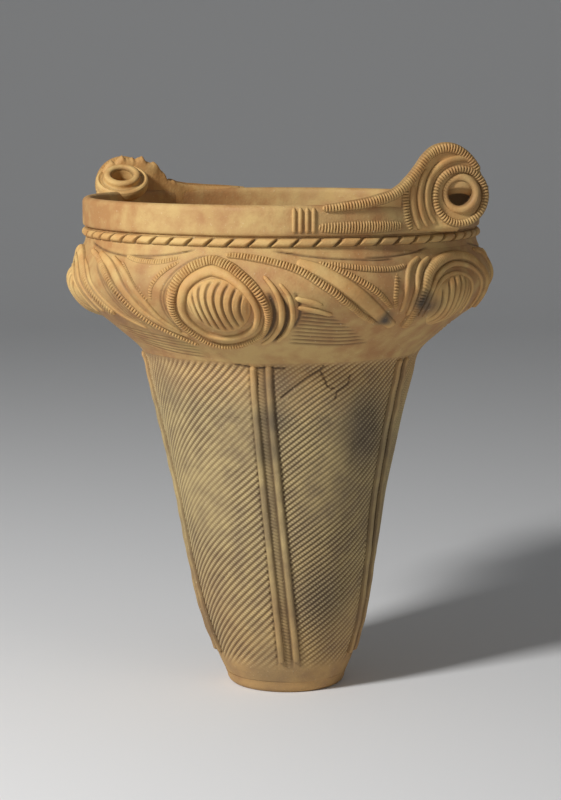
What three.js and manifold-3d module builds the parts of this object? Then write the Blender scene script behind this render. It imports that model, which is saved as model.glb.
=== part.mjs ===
// A tall fired-clay jar, coil built: a slim cord-marked body, a wide hollow shoulder with
// modelled whorls, a plain collar and two looped handles that stand on the rim.
// Millimetres. +Z is up and the origin is the middle of the foot, on the ground.
// The two handles stand at +X and -X. Angles are in degrees, anticlockwise from +X.
import * as THREE from "three";
import { mergeVertices } from "three/addons/utils/BufferGeometryUtils.js";
import Module from "manifold-3d";

const wasm = await Module();
wasm.setup();

// Outer skin of the jar, from the foot to the rim
const footRadius = 56;
const footEdgeHeight = 8;
const footEdgeRadius = 61.5;
const ankleHeight = 30;
const ankleRadius = 71;
const shinHeight = 78;
const shinRadius = 86.5;
const kneeHeight = 138;
const kneeRadius = 98.5;
const thighHeight = 200;
const thighRadius = 108.5;
const waistHeight = 262;
const waistRadius = 121.5;
const chestHeight = 324;
const chestRadius = 136;
const rootHeight = 350;
const rootRadius = 144;
const undersideHeight = 374;
const undersideRadius = 170;
const cheekHeight = 398;
const cheekRadius = 198;
const shoulderHeight = 424;
const shoulderRadius = 213;
const browHeight = 446;
const browRadius = 208;
const neckFootHeight = 461;
const neckFootRadius = 200;
const collarFootHeight = 477;
const neckRadius = 198;
const rimHeight = 506;
const collarRadius = 202;

// Clay thickness
const wall = 11;
const floorThickness = 12;

// The foot's centre lies a little to one side of the mouth's, as on many hand-built jars
const leanAmount = 5.5;
const leanAngle = 33;
const leanHeight = 303;

// How finely the round shells are divided
const bodySides = 36;
const shoulderSides = 48;
const eyeletSides = 14;
const bodyCourses = 6;
const courseSteps = [2, 1, 2, 2, 2, 5];

// Room between an added strip of clay and the surface it is pressed on
const seatGap = 0.35;
const padGap = 0.6;

// Whorls on the shoulder, by the angle of their centres: closed rings and open spirals
const closedWhorls = [-73, 68];
const openWhorls = [-4, 140, 219];
const domeHeight = 411;
const domeReach = 30;
const domeRise = 7;
const ringWidth = 7;
const ringRise = 3.5;
const sweepWidth = 6.5;
const sweepRise = 3.5;
const leafWidth = 5;
const leafRise = 2.5;

// Pairs of raised bands that run down the body, by the angle of the pair at the top
const bandAngles = [-65, 3, 75, 147, 219];
const bandWidth = 6.5;
const bandRise = 3;
const bandSpread = 6.5;
const bandDrift = 11;
const bandFoot = 34;
const bandTop = 340;

// The rope of pressed clay round the neck
const ropeHeight = 467.5;
const ropeWidth = 7.5;
const ropeRise = 4.5;
const ropeLobes = 62;

// Handles: the raised wing of the collar, with a ring and an eyelet through it
const ringCentreAngle = -5.8;
const ringCentreRadius = 220.3;
const ringCentreHeight = 511.5;
const wingFaceAngle = -38.7;
const wingThickness = 11;
const wingFirstAngle = -52;
const wingSlabAngle = -19;
const outerRingRadius = 29.8;
const outerRingWidth = 7.5;
const outerRingRise = 3.5;
const eyeletRadius = 19.3;
const eyeletBore = 12;
const eyeletLip = 3.5;
const eyeletAngle = -53;
const eyeletRaise = 2.5;
const eyeletDepth = 24;
const eyeletNeck = 7;
const discRadius = 28;
const discThickness = 14;
const discLip = 2;
const discTilt = 58;
const crestWidth = 8;
const crestRise = 3.5;
const crestHeight = 563;
const chippedHeight = 545;
const arcRadius = 37;
const arcWidth = 5;
const arcEnd = 95;
const chippedArcEnd = 141;
const trimRise = 2.5;
const lowBandWidth = 8;
const barsAngle = -51;
const barInset = 1.5;
const barWidth = 4;
const barPitch = 6.2;
const barCount = 4;

const clays = {
  foot: new THREE.MeshStandardMaterial({ color: 0xa8703c, roughness: 0.9, metalness: 0 }),
  body: new THREE.MeshStandardMaterial({ color: 0x94703f, roughness: 0.9, metalness: 0 }),
  shoulder: new THREE.MeshStandardMaterial({ color: 0xb58545, roughness: 0.85, metalness: 0 }),
  trim: new THREE.MeshStandardMaterial({ color: 0xc0914f, roughness: 0.85, metalness: 0 }),
};

const radians = THREE.MathUtils.degToRad;

// Smooth curve through [height, radius] stations, straight beyond its ends
const stations = [
  [footEdgeHeight, footEdgeRadius],
  [ankleHeight, ankleRadius],
  [shinHeight, shinRadius],
  [kneeHeight, kneeRadius],
  [thighHeight, thighRadius],
  [waistHeight, waistRadius],
  [chestHeight, chestRadius],
  [rootHeight, rootRadius],
  [undersideHeight, undersideRadius],
  [cheekHeight, cheekRadius],
  [shoulderHeight, shoulderRadius],
  [browHeight, browRadius],
  [neckFootHeight, neckFootRadius],
  [collarFootHeight, neckRadius],
];

function stationSlope(i) {
  const before = stations[Math.max(0, i - 1)];
  const after = stations[Math.min(stations.length - 1, i + 1)];
  return (after[1] - before[1]) / (after[0] - before[0]);
}

function skinRadius(height) {
  if (height >= collarFootHeight) return neckRadius;
  let i = 0;
  while (i < stations.length - 2 && height > stations[i + 1][0]) i += 1;
  const [z0, r0] = stations[i];
  const [z1, r1] = stations[i + 1];
  const span = z1 - z0;
  const t = (height - z0) / span;
  const keep = (1 + 2 * t) * (1 - t) ** 2;
  const reach = t * t * (3 - 2 * t);
  const leave = t * (1 - t) ** 2 * span * stationSlope(i);
  const arrive = t * t * (t - 1) * span * stationSlope(i + 1);
  return keep * r0 + reach * r1 + leave + arrive;
}

function skinSlope(height) {
  const step = 0.5;
  return (skinRadius(height + step) - skinRadius(height - step)) / (2 * step);
}

// Sideways place of the jar's centre at a height: the foot is at the origin
function centreAt(height) {
  const part = Math.min(1, Math.max(0, height / leanHeight));
  const shift = -leanAmount * Math.sin((Math.PI / 2) * part);
  const angle = radians(leanAngle);
  return [shift * Math.cos(angle), shift * Math.sin(angle)];
}

function polar(degrees, radius, height) {
  const [x, y] = centreAt(height);
  const angle = radians(degrees);
  return new THREE.Vector3(x + radius * Math.cos(angle), y + radius * Math.sin(angle), height);
}

// A point at an angle and height, lifted off the skin by a distance along its normal
function onSkin(degrees, height, lift) {
  const slope = skinSlope(height);
  const length = Math.hypot(1, slope);
  return polar(degrees, skinRadius(height) + lift / length, height - (lift * slope) / length);
}

// The inside of the wall at a height, one wall thickness in from the skin
const innerSamples = [];
for (let height = footEdgeHeight; height <= collarFootHeight; height += 1) {
  const slope = skinSlope(height);
  const length = Math.hypot(1, slope);
  innerSamples.push([height + (wall * slope) / length, skinRadius(height) - wall / length]);
}

function innerRadius(height) {
  let i = 0;
  while (i < innerSamples.length - 2 && height > innerSamples[i + 1][0]) i += 1;
  const [z0, r0] = innerSamples[i];
  const [z1, r1] = innerSamples[i + 1];
  const t = Math.min(1, Math.max(0, (height - z0) / (z1 - z0)));
  return r0 + (r1 - r0) * t;
}

// Builds one closed body from a grid of points, rows by columns
function meshFromGrid(rows, closedRows, closedColumns) {
  const columns = rows[0].length;
  const points = rows.flat();
  const faces = [];
  const rowCount = closedRows ? rows.length : rows.length - 1;
  const columnCount = closedColumns ? columns : columns - 1;
  for (let i = 0; i < rowCount; i += 1) {
    for (let j = 0; j < columnCount; j += 1) {
      const a = i * columns + j;
      const b = i * columns + ((j + 1) % columns);
      const c = ((i + 1) % rows.length) * columns + ((j + 1) % columns);
      const d = ((i + 1) % rows.length) * columns + j;
      faces.push(a, b, c, a, c, d);
    }
  }
  if (!closedRows) {
    for (let j = 1; j < columns - 1; j += 1) {
      const last = (rows.length - 1) * columns;
      faces.push(0, j + 1, j);
      faces.push(last, last + j, last + j + 1);
    }
  }
  return geometryFrom(points, faces);
}

// Welds a list of points and triangles into a geometry whose faces point out
function geometryFrom(points, faces) {
  let volume = 0;
  for (let i = 0; i < faces.length; i += 3) {
    const [a, b, c] = [points[faces[i]], points[faces[i + 1]], points[faces[i + 2]]];
    volume += a.dot(new THREE.Vector3().crossVectors(b, c));
  }
  const turned = volume < 0 ? faces.map((_, i) => faces[i - (i % 3) + [0, 2, 1][i % 3]]) : faces;
  const geometry = new THREE.BufferGeometry();
  const numbers = points.flatMap((p) => [p.x, p.y, p.z]);
  geometry.setAttribute("position", new THREE.Float32BufferAttribute(numbers, 3));
  geometry.setIndex(turned);
  return geometry;
}

// One ring of wall between two heights, with level joint faces
function course(low, high, steps, sides, outside, inside) {
  const outline = [];
  for (let i = 0; i <= steps; i += 1) {
    const height = low + ((high - low) * i) / steps;
    outline.push([outside(height), height]);
  }
  for (let i = steps; i >= 0; i -= 1) {
    const height = low + ((high - low) * i) / steps;
    outline.push([inside(height), height]);
  }
  const rows = [];
  for (let side = 0; side < sides; side += 1) {
    rows.push(outline.map(([radius, height]) => polar((360 * side) / sides, radius, height)));
  }
  return meshFromGrid(rows, true, true);
}

// A strip of clay laid along a line on a surface. Its width runs across the line and its
// rise stands off the surface; both may swell and taper along it.
function strip(surface, line, steps, width, rise, closed = false) {
  const path = new THREE.CatmullRomCurve3(
    line.map(([u, v]) => new THREE.Vector3(u, v, 0)),
    closed,
    "centripetal"
  );
  const rows = [];
  const last = closed ? steps - 1 : steps;
  for (let i = 0; i <= last; i += 1) {
    const t = i / steps;
    const at = path.getPoint(t);
    const way = path.getTangent(t);
    const half = typeof width === "function" ? width(t) / 2 : width / 2;
    const tall = typeof rise === "function" ? rise(t) : rise;
    rows.push(crossSection(surface, at, way, half, tall));
  }
  return meshFromGrid(rows, closed, true);
}

// Four corners across a strip: two on the surface and two on its narrower crown
function crossSection(surface, at, way, half, tall) {
  const e = 0.01;
  const alongU = surface(at.x + e, at.y, 0).sub(surface(at.x - e, at.y, 0)).divideScalar(2 * e);
  const alongV = surface(at.x, at.y + e, 0).sub(surface(at.x, at.y - e, 0)).divideScalar(2 * e);
  const tangent = alongU.clone().multiplyScalar(way.x).addScaledVector(alongV, way.y).normalize();
  const normal = new THREE.Vector3().crossVectors(alongU, alongV).normalize();
  const side = new THREE.Vector3().crossVectors(normal, tangent);
  const uu = alongU.dot(alongU);
  const uv = alongU.dot(alongV);
  const vv = alongV.dot(alongV);
  const area = uu * vv - uv * uv;
  const su = side.dot(alongU);
  const sv = side.dot(alongV);
  const du = (su * vv - sv * uv) / area;
  const dv = (sv * uu - su * uv) / area;
  const crown = 0.55;
  return [
    surface(at.x + du * half, at.y + dv * half, seatGap),
    surface(at.x + du * half * crown, at.y + dv * half * crown, seatGap + tall),
    surface(at.x - du * half * crown, at.y - dv * half * crown, seatGap + tall),
    surface(at.x - du * half, at.y - dv * half, seatGap),
  ];
}

// A low round pad of clay on a surface, with its reach given along u and along v
function pad(surface, centre, reachU, reachV, rise) {
  const sides = 16;
  const rings = 4;
  const edge = 1;
  const [u, v] = centre;
  const top = [surface(u, v, padGap + rise)];
  const bottom = [surface(u, v, padGap)];
  const faces = [];
  for (let ring = 1; ring <= rings; ring += 1) {
    const out = ring / rings;
    const lift = edge + (rise - edge) * (1 - out * out);
    for (let side = 0; side < sides; side += 1) {
      const angle = (2 * Math.PI * side) / sides;
      const pu = u + reachU * out * Math.cos(angle);
      const pv = v + reachV * out * Math.sin(angle);
      top.push(surface(pu, pv, padGap + lift));
      bottom.push(surface(pu, pv, padGap));
    }
  }
  const half = top.length;
  for (let side = 0; side < sides; side += 1) {
    const next = (side + 1) % sides;
    faces.push(0, 1 + side, 1 + next);
    faces.push(half, half + 1 + next, half + 1 + side);
    for (let ring = 0; ring < rings - 1; ring += 1) {
      const a = 1 + ring * sides + side;
      const b = 1 + ring * sides + next;
      faces.push(a, a + sides, b + sides, a, b + sides, b);
      faces.push(half + a, half + b + sides, half + a + sides);
      faces.push(half + a, half + b, half + b + sides);
    }
    const rimA = 1 + (rings - 1) * sides + side;
    const rimB = 1 + (rings - 1) * sides + next;
    faces.push(rimA, half + rimA, half + rimB, rimA, half + rimB, rimB);
  }
  return geometryFrom([...top, ...bottom], faces);
}

// Solids for cutting and joining
function solidOf(geometry) {
  const bare = geometry.clone();
  bare.deleteAttribute("normal");
  bare.deleteAttribute("uv");
  const welded = mergeVertices(bare, 1e-5);
  return new wasm.Manifold(
    new wasm.Mesh({
      numProp: 3,
      vertProperties: new Float32Array(welded.attributes.position.array),
      triVerts: new Uint32Array(welded.index.array),
    })
  );
}

function geometryOf(solid) {
  const mesh = solid.getMesh();
  const geometry = new THREE.BufferGeometry();
  geometry.setAttribute("position", new THREE.BufferAttribute(mesh.vertProperties, 3));
  geometry.setIndex(new THREE.BufferAttribute(mesh.triVerts, 1));
  return geometry;
}

const jar = new THREE.Group();

function add(name, geometry, material) {
  const mesh = new THREE.Mesh(geometry, material);
  mesh.name = name;
  jar.add(mesh);
}

// The foot: a flat disc of clay with a rounded lower edge
function footDisc() {
  const topRadius = skinRadius(floorThickness);
  const outline = [
    [footRadius, 0],
    [footRadius + (footEdgeRadius - footRadius) * 0.7, footEdgeHeight * 0.3],
    [footEdgeRadius, footEdgeHeight],
    [topRadius, floorThickness],
  ];
  const rows = outline.map(([radius, height]) => {
    const row = [];
    for (let side = 0; side < bodySides; side += 1) {
      row.push(polar((360 * side) / bodySides, radius, height));
    }
    return row;
  });
  return meshFromGrid(rows, false, true);
}

add("foot_disc", footDisc(), clays.foot);

// The body: six rings of coils, each let stiffen before the next was built on it
for (let i = 0; i < bodyCourses; i += 1) {
  const step = (rootHeight - floorThickness) / bodyCourses;
  const low = floorThickness + step * i;
  const high = i === bodyCourses - 1 ? rootHeight : floorThickness + step * (i + 1);
  const steps = courseSteps[i];
  const shell = course(low, high, steps, bodySides, skinRadius, innerRadius);
  add(`body_course_${i + 1}`, shell, clays.body);
}

// The shoulder, hollow inside, then the neck and the collar
add(
  "shoulder_underside",
  course(rootHeight, shoulderHeight, 6, shoulderSides, skinRadius, innerRadius),
  clays.shoulder
);
add(
  "shoulder_top",
  course(shoulderHeight, neckFootHeight, 4, shoulderSides, skinRadius, innerRadius),
  clays.shoulder
);
add(
  "neck_band",
  course(neckFootHeight, collarFootHeight, 3, shoulderSides, skinRadius, innerRadius),
  clays.shoulder
);
// The rope: a strip of clay nicked across at an even pitch
function rope() {
  const parts = 2;
  const steps = ropeLobes * parts;
  const rows = [];
  for (let i = 0; i < steps; i += 1) {
    const at = new THREE.Vector3((360 * i) / steps, ropeHeight, 0);
    const full = i % parts === 0 ? 0.45 : 1;
    const half = (ropeWidth / 2) * (0.7 + 0.3 * full);
    rows.push(crossSection(onSkin, at, new THREE.Vector3(1, 0, 0), half, ropeRise * full));
  }
  return meshFromGrid(rows, true, true);
}

add("neck_rope", rope(), clays.trim);

// A line given by [degrees from the whorl's centre, height] is moved to its whorl
const around = (centre, line) => line.map(([degrees, height]) => [centre + degrees, height]);

const closedRing = [
  [-13.4, 403],
  [-12.3, 422],
  [-9.4, 439],
  [-4.5, 450],
  [0.5, 452],
  [5, 445.5],
  [9, 432],
  [11.6, 414],
  [11.7, 396],
  [9, 381],
  [2.5, 372],
  [-5.5, 371],
  [-11, 382],
];
const openArc = [
  [-13.5, 386],
  [-13.8, 405],
  [-13.3, 424],
  [-10.6, 440],
  [-5, 450],
  [2, 453],
  [9, 450],
  [15, 441],
  [20, 427],
  [24, 411],
  [29, 396],
];
const closedSweep = [
  [8, 456.5],
  [13, 455],
  [18, 450],
  [23, 441],
  [29, 424],
  [36, 405],
  [43, 391],
  [49, 382],
];
const openSweep = [
  [17, 456],
  [24, 450],
  [30, 438],
  [35, 423],
  [39, 406],
  [43, 391],
  [48, 380],
];
const closedLeaf = [
  [28, 451.5],
  [35, 438.5],
  [42, 420.5],
  [48, 404.5],
];
const openLeaf = [
  [31, 453],
  [37, 443],
  [42, 428],
  [45.5, 412],
];

const swell = (size, end) => (t) => size * (end + (1 - end) * Math.sin(Math.PI * t));

function whorl(number, centre, closed) {
  const reach = (domeReach / shoulderRadius) * (180 / Math.PI);
  const dome = pad(onSkin, [centre - (closed ? 0.5 : 0), domeHeight], reach, domeReach * 0.8, domeRise);
  add(`whorl_dome_${number}`, dome, clays.trim);
  const ringLine = around(centre, closed ? closedRing : openArc);
  const ringSteps = closed ? 38 : 28;
  const ring = strip(onSkin, ringLine, ringSteps, ringWidth, ringRise, closed);
  add(`whorl_ring_${number}`, ring, clays.trim);
  const sweepLine = around(centre, closed ? closedSweep : openSweep);
  const sweep = strip(onSkin, sweepLine, 22, swell(sweepWidth, 0.6), swell(sweepRise, 0.5));
  add(`sweep_fillet_${number}`, sweep, clays.trim);
  const leafLine = around(centre, closed ? closedLeaf : openLeaf);
  const leaf = strip(onSkin, leafLine, 11, swell(leafWidth, 0.5), swell(leafRise, 0.5));
  add(`leaf_fillet_${number}`, leaf, clays.trim);
}

closedWhorls.forEach((centre, i) => whorl(i + 1, centre, true));
openWhorls.forEach((centre, i) => whorl(closedWhorls.length + i + 1, centre, false));

// Each pair of bands starts under the shoulder and drifts to one side on its way down
function band(angle, hand) {
  const line = [0, 0.35, 0.7, 1].map((t) => {
    const height = bandTop + (bandFoot - bandTop) * t;
    const spread = (hand * bandSpread * chestRadius) / skinRadius(height) / 2;
    return [angle + bandDrift * t ** 1.5 + spread, height];
  });
  return strip(onSkin, line, 14, bandWidth, bandRise);
}

bandAngles.forEach((angle, i) => {
  add(`band_left_${i + 1}`, band(angle, -1), clays.body);
  add(`band_right_${i + 1}`, band(angle, 1), clays.body);
});

// Handles. One is built at +X and the other is the same turned half round, with its
// crest broken away. Sideways places are about the mouth's centre.
const [mouthX, mouthY] = centreAt(rimHeight);

function mouthPoint(degrees, radius, height) {
  const angle = radians(degrees);
  return new THREE.Vector3(radius * Math.cos(angle), radius * Math.sin(angle), height);
}

const ringCentre = mouthPoint(ringCentreAngle, ringCentreRadius, ringCentreHeight);
const faceNormal = mouthPoint(wingFaceAngle, 1, 0);
const faceRight = new THREE.Vector3(-faceNormal.y, faceNormal.x, 0);

// The wing's front in plan: it follows the collar and then swings out to face the eyelet
const planLine = [];
for (let degrees = wingFirstAngle; degrees <= wingSlabAngle; degrees += 5.5) {
  planLine.push(mouthPoint(degrees, collarRadius + 0.6, 0));
}
planLine.push(mouthPoint(wingSlabAngle + 4, collarRadius + 2.6, 0));
for (const across of [-30, -10, 10, 30]) {
  planLine.push(ringCentre.clone().setZ(0).addScaledVector(faceRight, across));
}
const plan = new THREE.CatmullRomCurve3(planLine, false, "centripetal");
const planLength = plan.getLength();
const ringAlong = planLength - 30;

// u runs along the plan line, 0 at the ring's centre; v is the height
function onWing(u, v, lift) {
  const t = Math.min(1, Math.max(0, (u + ringAlong) / planLength));
  const at = plan.getPointAt(t);
  const way = plan.getTangentAt(t);
  const over = u + ringAlong - t * planLength;
  return new THREE.Vector3(
    at.x + way.x * over + way.y * lift,
    at.y + way.y * over - way.x * lift,
    v
  );
}

// The crest: how high the wing stands at each place along it
const crestLine = [
  [-outerRingRadius * 4.7, rimHeight + 1.5],
  [-outerRingRadius * 3.6, rimHeight + 5],
  [-outerRingRadius * 2.7, rimHeight + 11],
  [-outerRingRadius * 2.15, rimHeight + 18],
  [-outerRingRadius * 1.65, rimHeight + 32],
  [-outerRingRadius * 1.15, rimHeight + 49],
  [-outerRingRadius * 0.65, crestHeight],
  [-outerRingRadius * 0.15, crestHeight - 2],
  [outerRingRadius * 0.35, crestHeight - 12],
  [outerRingRadius * 0.7, crestHeight - 25],
  [outerRingRadius * 0.95, crestHeight - 41],
];

function crestAt(u) {
  const last = crestLine.length - 1;
  let i = 0;
  while (i < last - 1 && u > crestLine[i + 1][0]) i += 1;
  const [u0, v0] = crestLine[i];
  const [u1, v1] = crestLine[i + 1];
  return v0 + ((v1 - v0) * Math.min(1, Math.max(0, (u - u0) / (u1 - u0))));
}

// Where the wing's lower edge is: on the rim at first, then down beside the collar, and
// round under the ring at the end
function wingFoot(u) {
  const slabStart = -outerRingRadius * 2.1;
  if (u < slabStart) return rimHeight + 0.3;
  if (u < 0) return collarFootHeight + 0.5;
  const round = Math.sqrt(Math.max(0, outerRingRadius ** 2 - u ** 2));
  return ringCentreHeight - round;
}

function wing(topOf) {
  const first = crestLine[0][0];
  const end = outerRingRadius - 0.5;
  const slabStart = -outerRingRadius * 2.1;
  const columns = [];
  for (let i = 0; i <= 8; i += 1) columns.push(first + ((slabStart - 0.2 - first) * i) / 8);
  for (let i = 0; i <= 8; i += 1) columns.push(slabStart + ((0 - slabStart) * i) / 8);
  for (let i = 1; i <= 6; i += 1) columns.push(end * Math.sin((Math.PI / 2) * (i / 6)));
  const rowsUp = 2;
  const rows = columns.map((u) => {
    const low = wingFoot(u);
    const high = Math.max(topOf(u), low + 1);
    const row = [];
    for (let i = 0; i <= rowsUp; i += 1) row.push(onWing(u, low + ((high - low) * i) / rowsUp, 0));
    for (let i = rowsUp; i >= 0; i -= 1) {
      row.push(onWing(u, low + ((high - low) * i) / rowsUp, -wingThickness));
    }
    return row;
  });
  return solidOf(meshFromGrid(rows, false, true));
}

// A cylinder along a direction from a point
function cylinder(from, direction, radius, length, sides) {
  const geometry = new THREE.CylinderGeometry(radius, radius, length, sides);
  geometry.translate(0, length / 2, 0);
  const turn = new THREE.Quaternion().setFromUnitVectors(new THREE.Vector3(0, 1, 0), direction);
  geometry.applyQuaternion(turn);
  geometry.translate(from.x, from.y, from.z);
  return solidOf(geometry);
}

// The eyelet goes straight back from the wing's front and turns up to open inwards
const up = new THREE.Vector3(0, 0, 1);
const eyeletWay = mouthPoint(eyeletAngle, -1, 0);
const discNormal = mouthPoint(eyeletAngle, -Math.cos(radians(discTilt)), 0);
discNormal.z = Math.sin(radians(discTilt));
const eyeletCentre = ringCentre.clone().addScaledVector(up, eyeletRaise);
const eyeletFront = eyeletCentre.clone().addScaledVector(eyeletWay, -eyeletLip);
const eyeletElbow = eyeletCentre.clone().addScaledVector(eyeletWay, eyeletDepth);
const discCentre = eyeletElbow.clone().addScaledVector(discNormal, eyeletNeck);

function elbow(radius, extra) {
  const from = eyeletFront.clone().addScaledVector(eyeletWay, -extra);
  const depth = eyeletDepth + eyeletLip + extra;
  const front = cylinder(from, eyeletWay, radius, depth, eyeletSides);
  const back = cylinder(eyeletElbow, discNormal, radius, eyeletNeck + extra, eyeletSides);
  const knee = new THREE.SphereGeometry(radius, eyeletSides, eyeletSides / 2);
  knee.translate(eyeletElbow.x, eyeletElbow.y, eyeletElbow.z);
  return front.add(back).add(solidOf(knee));
}

// Everything that the collar and the mouth fill, with room for a seam
const collarRoom = cylinder(new THREE.Vector3(0, 0, 0), up, collarRadius + 0.3, rimHeight + 0.3, 128);
const eyeletRoom = elbow(eyeletRadius + 0.3, 2);

// A thick block in front of, or behind, a plane
function block(point, direction) {
  return cylinder(point, direction, 160, 160, 4);
}

// The collar, with a saddle pressed into the rim under each eyelet
function collar() {
  const outside = () => collarRadius;
  const inside = () => collarRadius - wall;
  const ring = solidOf(course(collarFootHeight, rimHeight, 1, shoulderSides, outside, inside));
  const saddle = eyeletRoom.translate([mouthX, mouthY, 0]);
  const opposite = eyeletRoom.rotate([0, 0, 180]).translate([mouthX, mouthY, 0]);
  return geometryOf(ring.subtract(saddle).subtract(opposite));
}

add("rim_collar", collar(), clays.shoulder);

// Trim on the collar itself, beside each wing
function onCollar(degrees, height, lift) {
  return mouthPoint(degrees, collarRadius + lift, height);
}

// Upright bars side by side, raised from one thin backing
function bars() {
  const start = barsAngle - (barPitch * barCount) / 2 / radians(collarRadius);
  const rows = [];
  const low = collarFootHeight + barInset;
  const high = rimHeight - barInset;
  for (let i = 0; i <= barCount * 4; i += 1) {
    const raised = i % 4 === 1 || i % 4 === 2;
    const edge = [0, (barPitch - barWidth) / 2, (barPitch + barWidth) / 2, barPitch][i % 4];
    const along = Math.floor(i / 4) * barPitch + edge;
    const degrees = start + along / radians(collarRadius);
    const out = seatGap + (raised ? trimRise : trimRise * 0.3);
    rows.push([
      onCollar(degrees, low, seatGap),
      onCollar(degrees, low + trimRise, out),
      onCollar(degrees, high - trimRise, out),
      onCollar(degrees, high, seatGap),
    ]);
  }
  return meshFromGrid(rows, false, true);
}

// A line round the ring's centre on the wing, from one angle to another
function arcLine(radius, from, to, parts) {
  const line = [];
  for (let i = 0; i <= parts; i += 1) {
    const angle = radians(from + ((to - from) * i) / parts);
    line.push([radius * Math.cos(angle), ringCentreHeight + radius * Math.sin(angle)]);
  }
  return line;
}

function crestRidge(from, to, topOf) {
  const line = [];
  const parts = 12;
  for (let i = 0; i <= parts; i += 1) {
    const u = from + ((to - from) * i) / parts;
    line.push([u, topOf(u) - crestWidth * 0.6]);
  }
  return strip(onWing, line, 22, swell(crestWidth, 0.6), crestRise);
}

function handle(name, topOf, ridgeEnd, arcTo, turned) {
  const place = (geometry) => {
    geometry.rotateZ(turned ? Math.PI : 0);
    geometry.translate(mouthX, mouthY, 0);
    return geometry;
  };
  const piece = (part, geometry) => add(`${name}_${part}`, place(geometry), clays.trim);

  piece("wing", geometryOf(wing(topOf).subtract(collarRoom).subtract(eyeletRoom)));
  piece("eyelet", geometryOf(elbow(eyeletRadius, 0).subtract(elbow(eyeletBore, 5))));

  const behindWing = ringCentre.clone().addScaledVector(faceNormal, -wingThickness - 0.3);
  const discBack = discCentre.clone().addScaledVector(discNormal, -discThickness - discLip);
  const disc = cylinder(discBack, discNormal, discRadius, discThickness, 24)
    .subtract(eyeletRoom)
    .subtract(block(behindWing, faceNormal))
    .subtract(collarRoom);
  piece("inner_disc", geometryOf(disc));

  const ringLine = arcLine(outerRingRadius - outerRingWidth / 2, 0, 330, 11);
  piece("outer_ring", strip(onWing, ringLine, 26, outerRingWidth, outerRingRise, true));
  piece("crest_ridge", crestRidge(crestLine[0][0] + 10, ridgeEnd, topOf));
  piece("arc_ridge", strip(onWing, arcLine(arcRadius, 232, arcTo, 10), 14, arcWidth, trimRise));

  const bandHeight = collarFootHeight + lowBandWidth / 2 + barInset;
  const bandLine = [
    [barsAngle + 4.2, bandHeight],
    [(barsAngle + wingSlabAngle) / 2, bandHeight],
    [wingSlabAngle - 7, bandHeight],
  ];
  piece("low_band", strip(onCollar, bandLine, 12, swell(lowBandWidth, 0.7), trimRise));
  piece("bars", bars());
}

const chipSteps = [0, -3, -1, -5, -2, -4];

function chippedTop(u) {
  const jag = chipSteps[Math.abs(Math.floor(u / 7)) % chipSteps.length];
  return Math.min(crestAt(u), chippedHeight + jag);
}

handle("handle", crestAt, outerRingRadius * 0.35, arcEnd, false);
handle("chipped_handle", chippedTop, -outerRingRadius * 1.6, chippedArcEnd, true);

export default jar;
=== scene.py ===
# %% [markdown]
# A tall coil-built jar of fired clay, dressed for a render. The packed solids are loaded first
# as a fixed frame, and every piece made here stands where its solid stands, with +Z up. Sizes in
# the cells are millimetres, and a mesh is filled in metres. Only the lamps, the floor and the
# stains of the fire are placed in metres.

# %% Load the frame
import math

import bpy
import numpy as np
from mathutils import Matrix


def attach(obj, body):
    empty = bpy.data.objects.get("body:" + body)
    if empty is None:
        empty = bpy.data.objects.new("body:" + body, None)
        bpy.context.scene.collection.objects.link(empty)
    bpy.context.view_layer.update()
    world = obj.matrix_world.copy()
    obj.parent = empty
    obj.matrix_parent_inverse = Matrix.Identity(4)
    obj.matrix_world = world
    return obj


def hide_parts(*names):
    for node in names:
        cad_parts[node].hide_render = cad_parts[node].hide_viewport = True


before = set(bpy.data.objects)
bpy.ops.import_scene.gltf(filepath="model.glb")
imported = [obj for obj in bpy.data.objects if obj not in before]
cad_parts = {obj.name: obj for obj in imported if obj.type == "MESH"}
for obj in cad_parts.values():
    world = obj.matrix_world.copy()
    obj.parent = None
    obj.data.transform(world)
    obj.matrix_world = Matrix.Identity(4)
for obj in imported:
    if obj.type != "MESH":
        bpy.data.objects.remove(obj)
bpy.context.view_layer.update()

MM = 0.001
print("solids loaded:", len(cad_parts))

# %% [markdown]
# The camera stands a little above the rim, over two metres away, and looks slightly down. A long
# lens keeps the jar's sides almost parallel, as in a museum picture. The jar's foot is at the
# origin, so the camera's place is given as a distance towards the viewer and a height.

# %% Camera
VIEW_TURN = math.radians(33)
RIGHT = np.array([math.cos(VIEW_TURN), math.sin(VIEW_TURN)])
TOWARD = np.array([math.sin(VIEW_TURN), -math.cos(VIEW_TURN)])
CAMERA_RIGHT, CAMERA_TOWARD, CAMERA_HEIGHT = -6.0, 2273, 610
LENS, SENSOR, LOOK_DOWN = 99.9, 36, 7.89

camera_data = bpy.data.cameras.new("camera")
camera_data.sensor_width = SENSOR
camera_data.lens = LENS
camera_data.clip_end = 50
camera = bpy.data.objects.new("camera", camera_data)
bpy.context.scene.collection.objects.link(camera)
stand = (CAMERA_RIGHT * RIGHT + CAMERA_TOWARD * TOWARD) * MM
camera.location = (*stand, CAMERA_HEIGHT * MM)
camera.rotation_euler = (math.radians(90 - LOOK_DOWN), 0, VIEW_TURN)
bpy.context.scene.camera = camera
print("camera at", [round(c, 3) for c in camera.location])

# %% [markdown]
# The skin of the jar is one smooth curve of radius against height, turned about a centre that
# leans a little, because the potter's coils drifted. It could be a spline object, but a function
# can be asked anywhere, so that a fillet of clay always lies on the wall under it.

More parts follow.
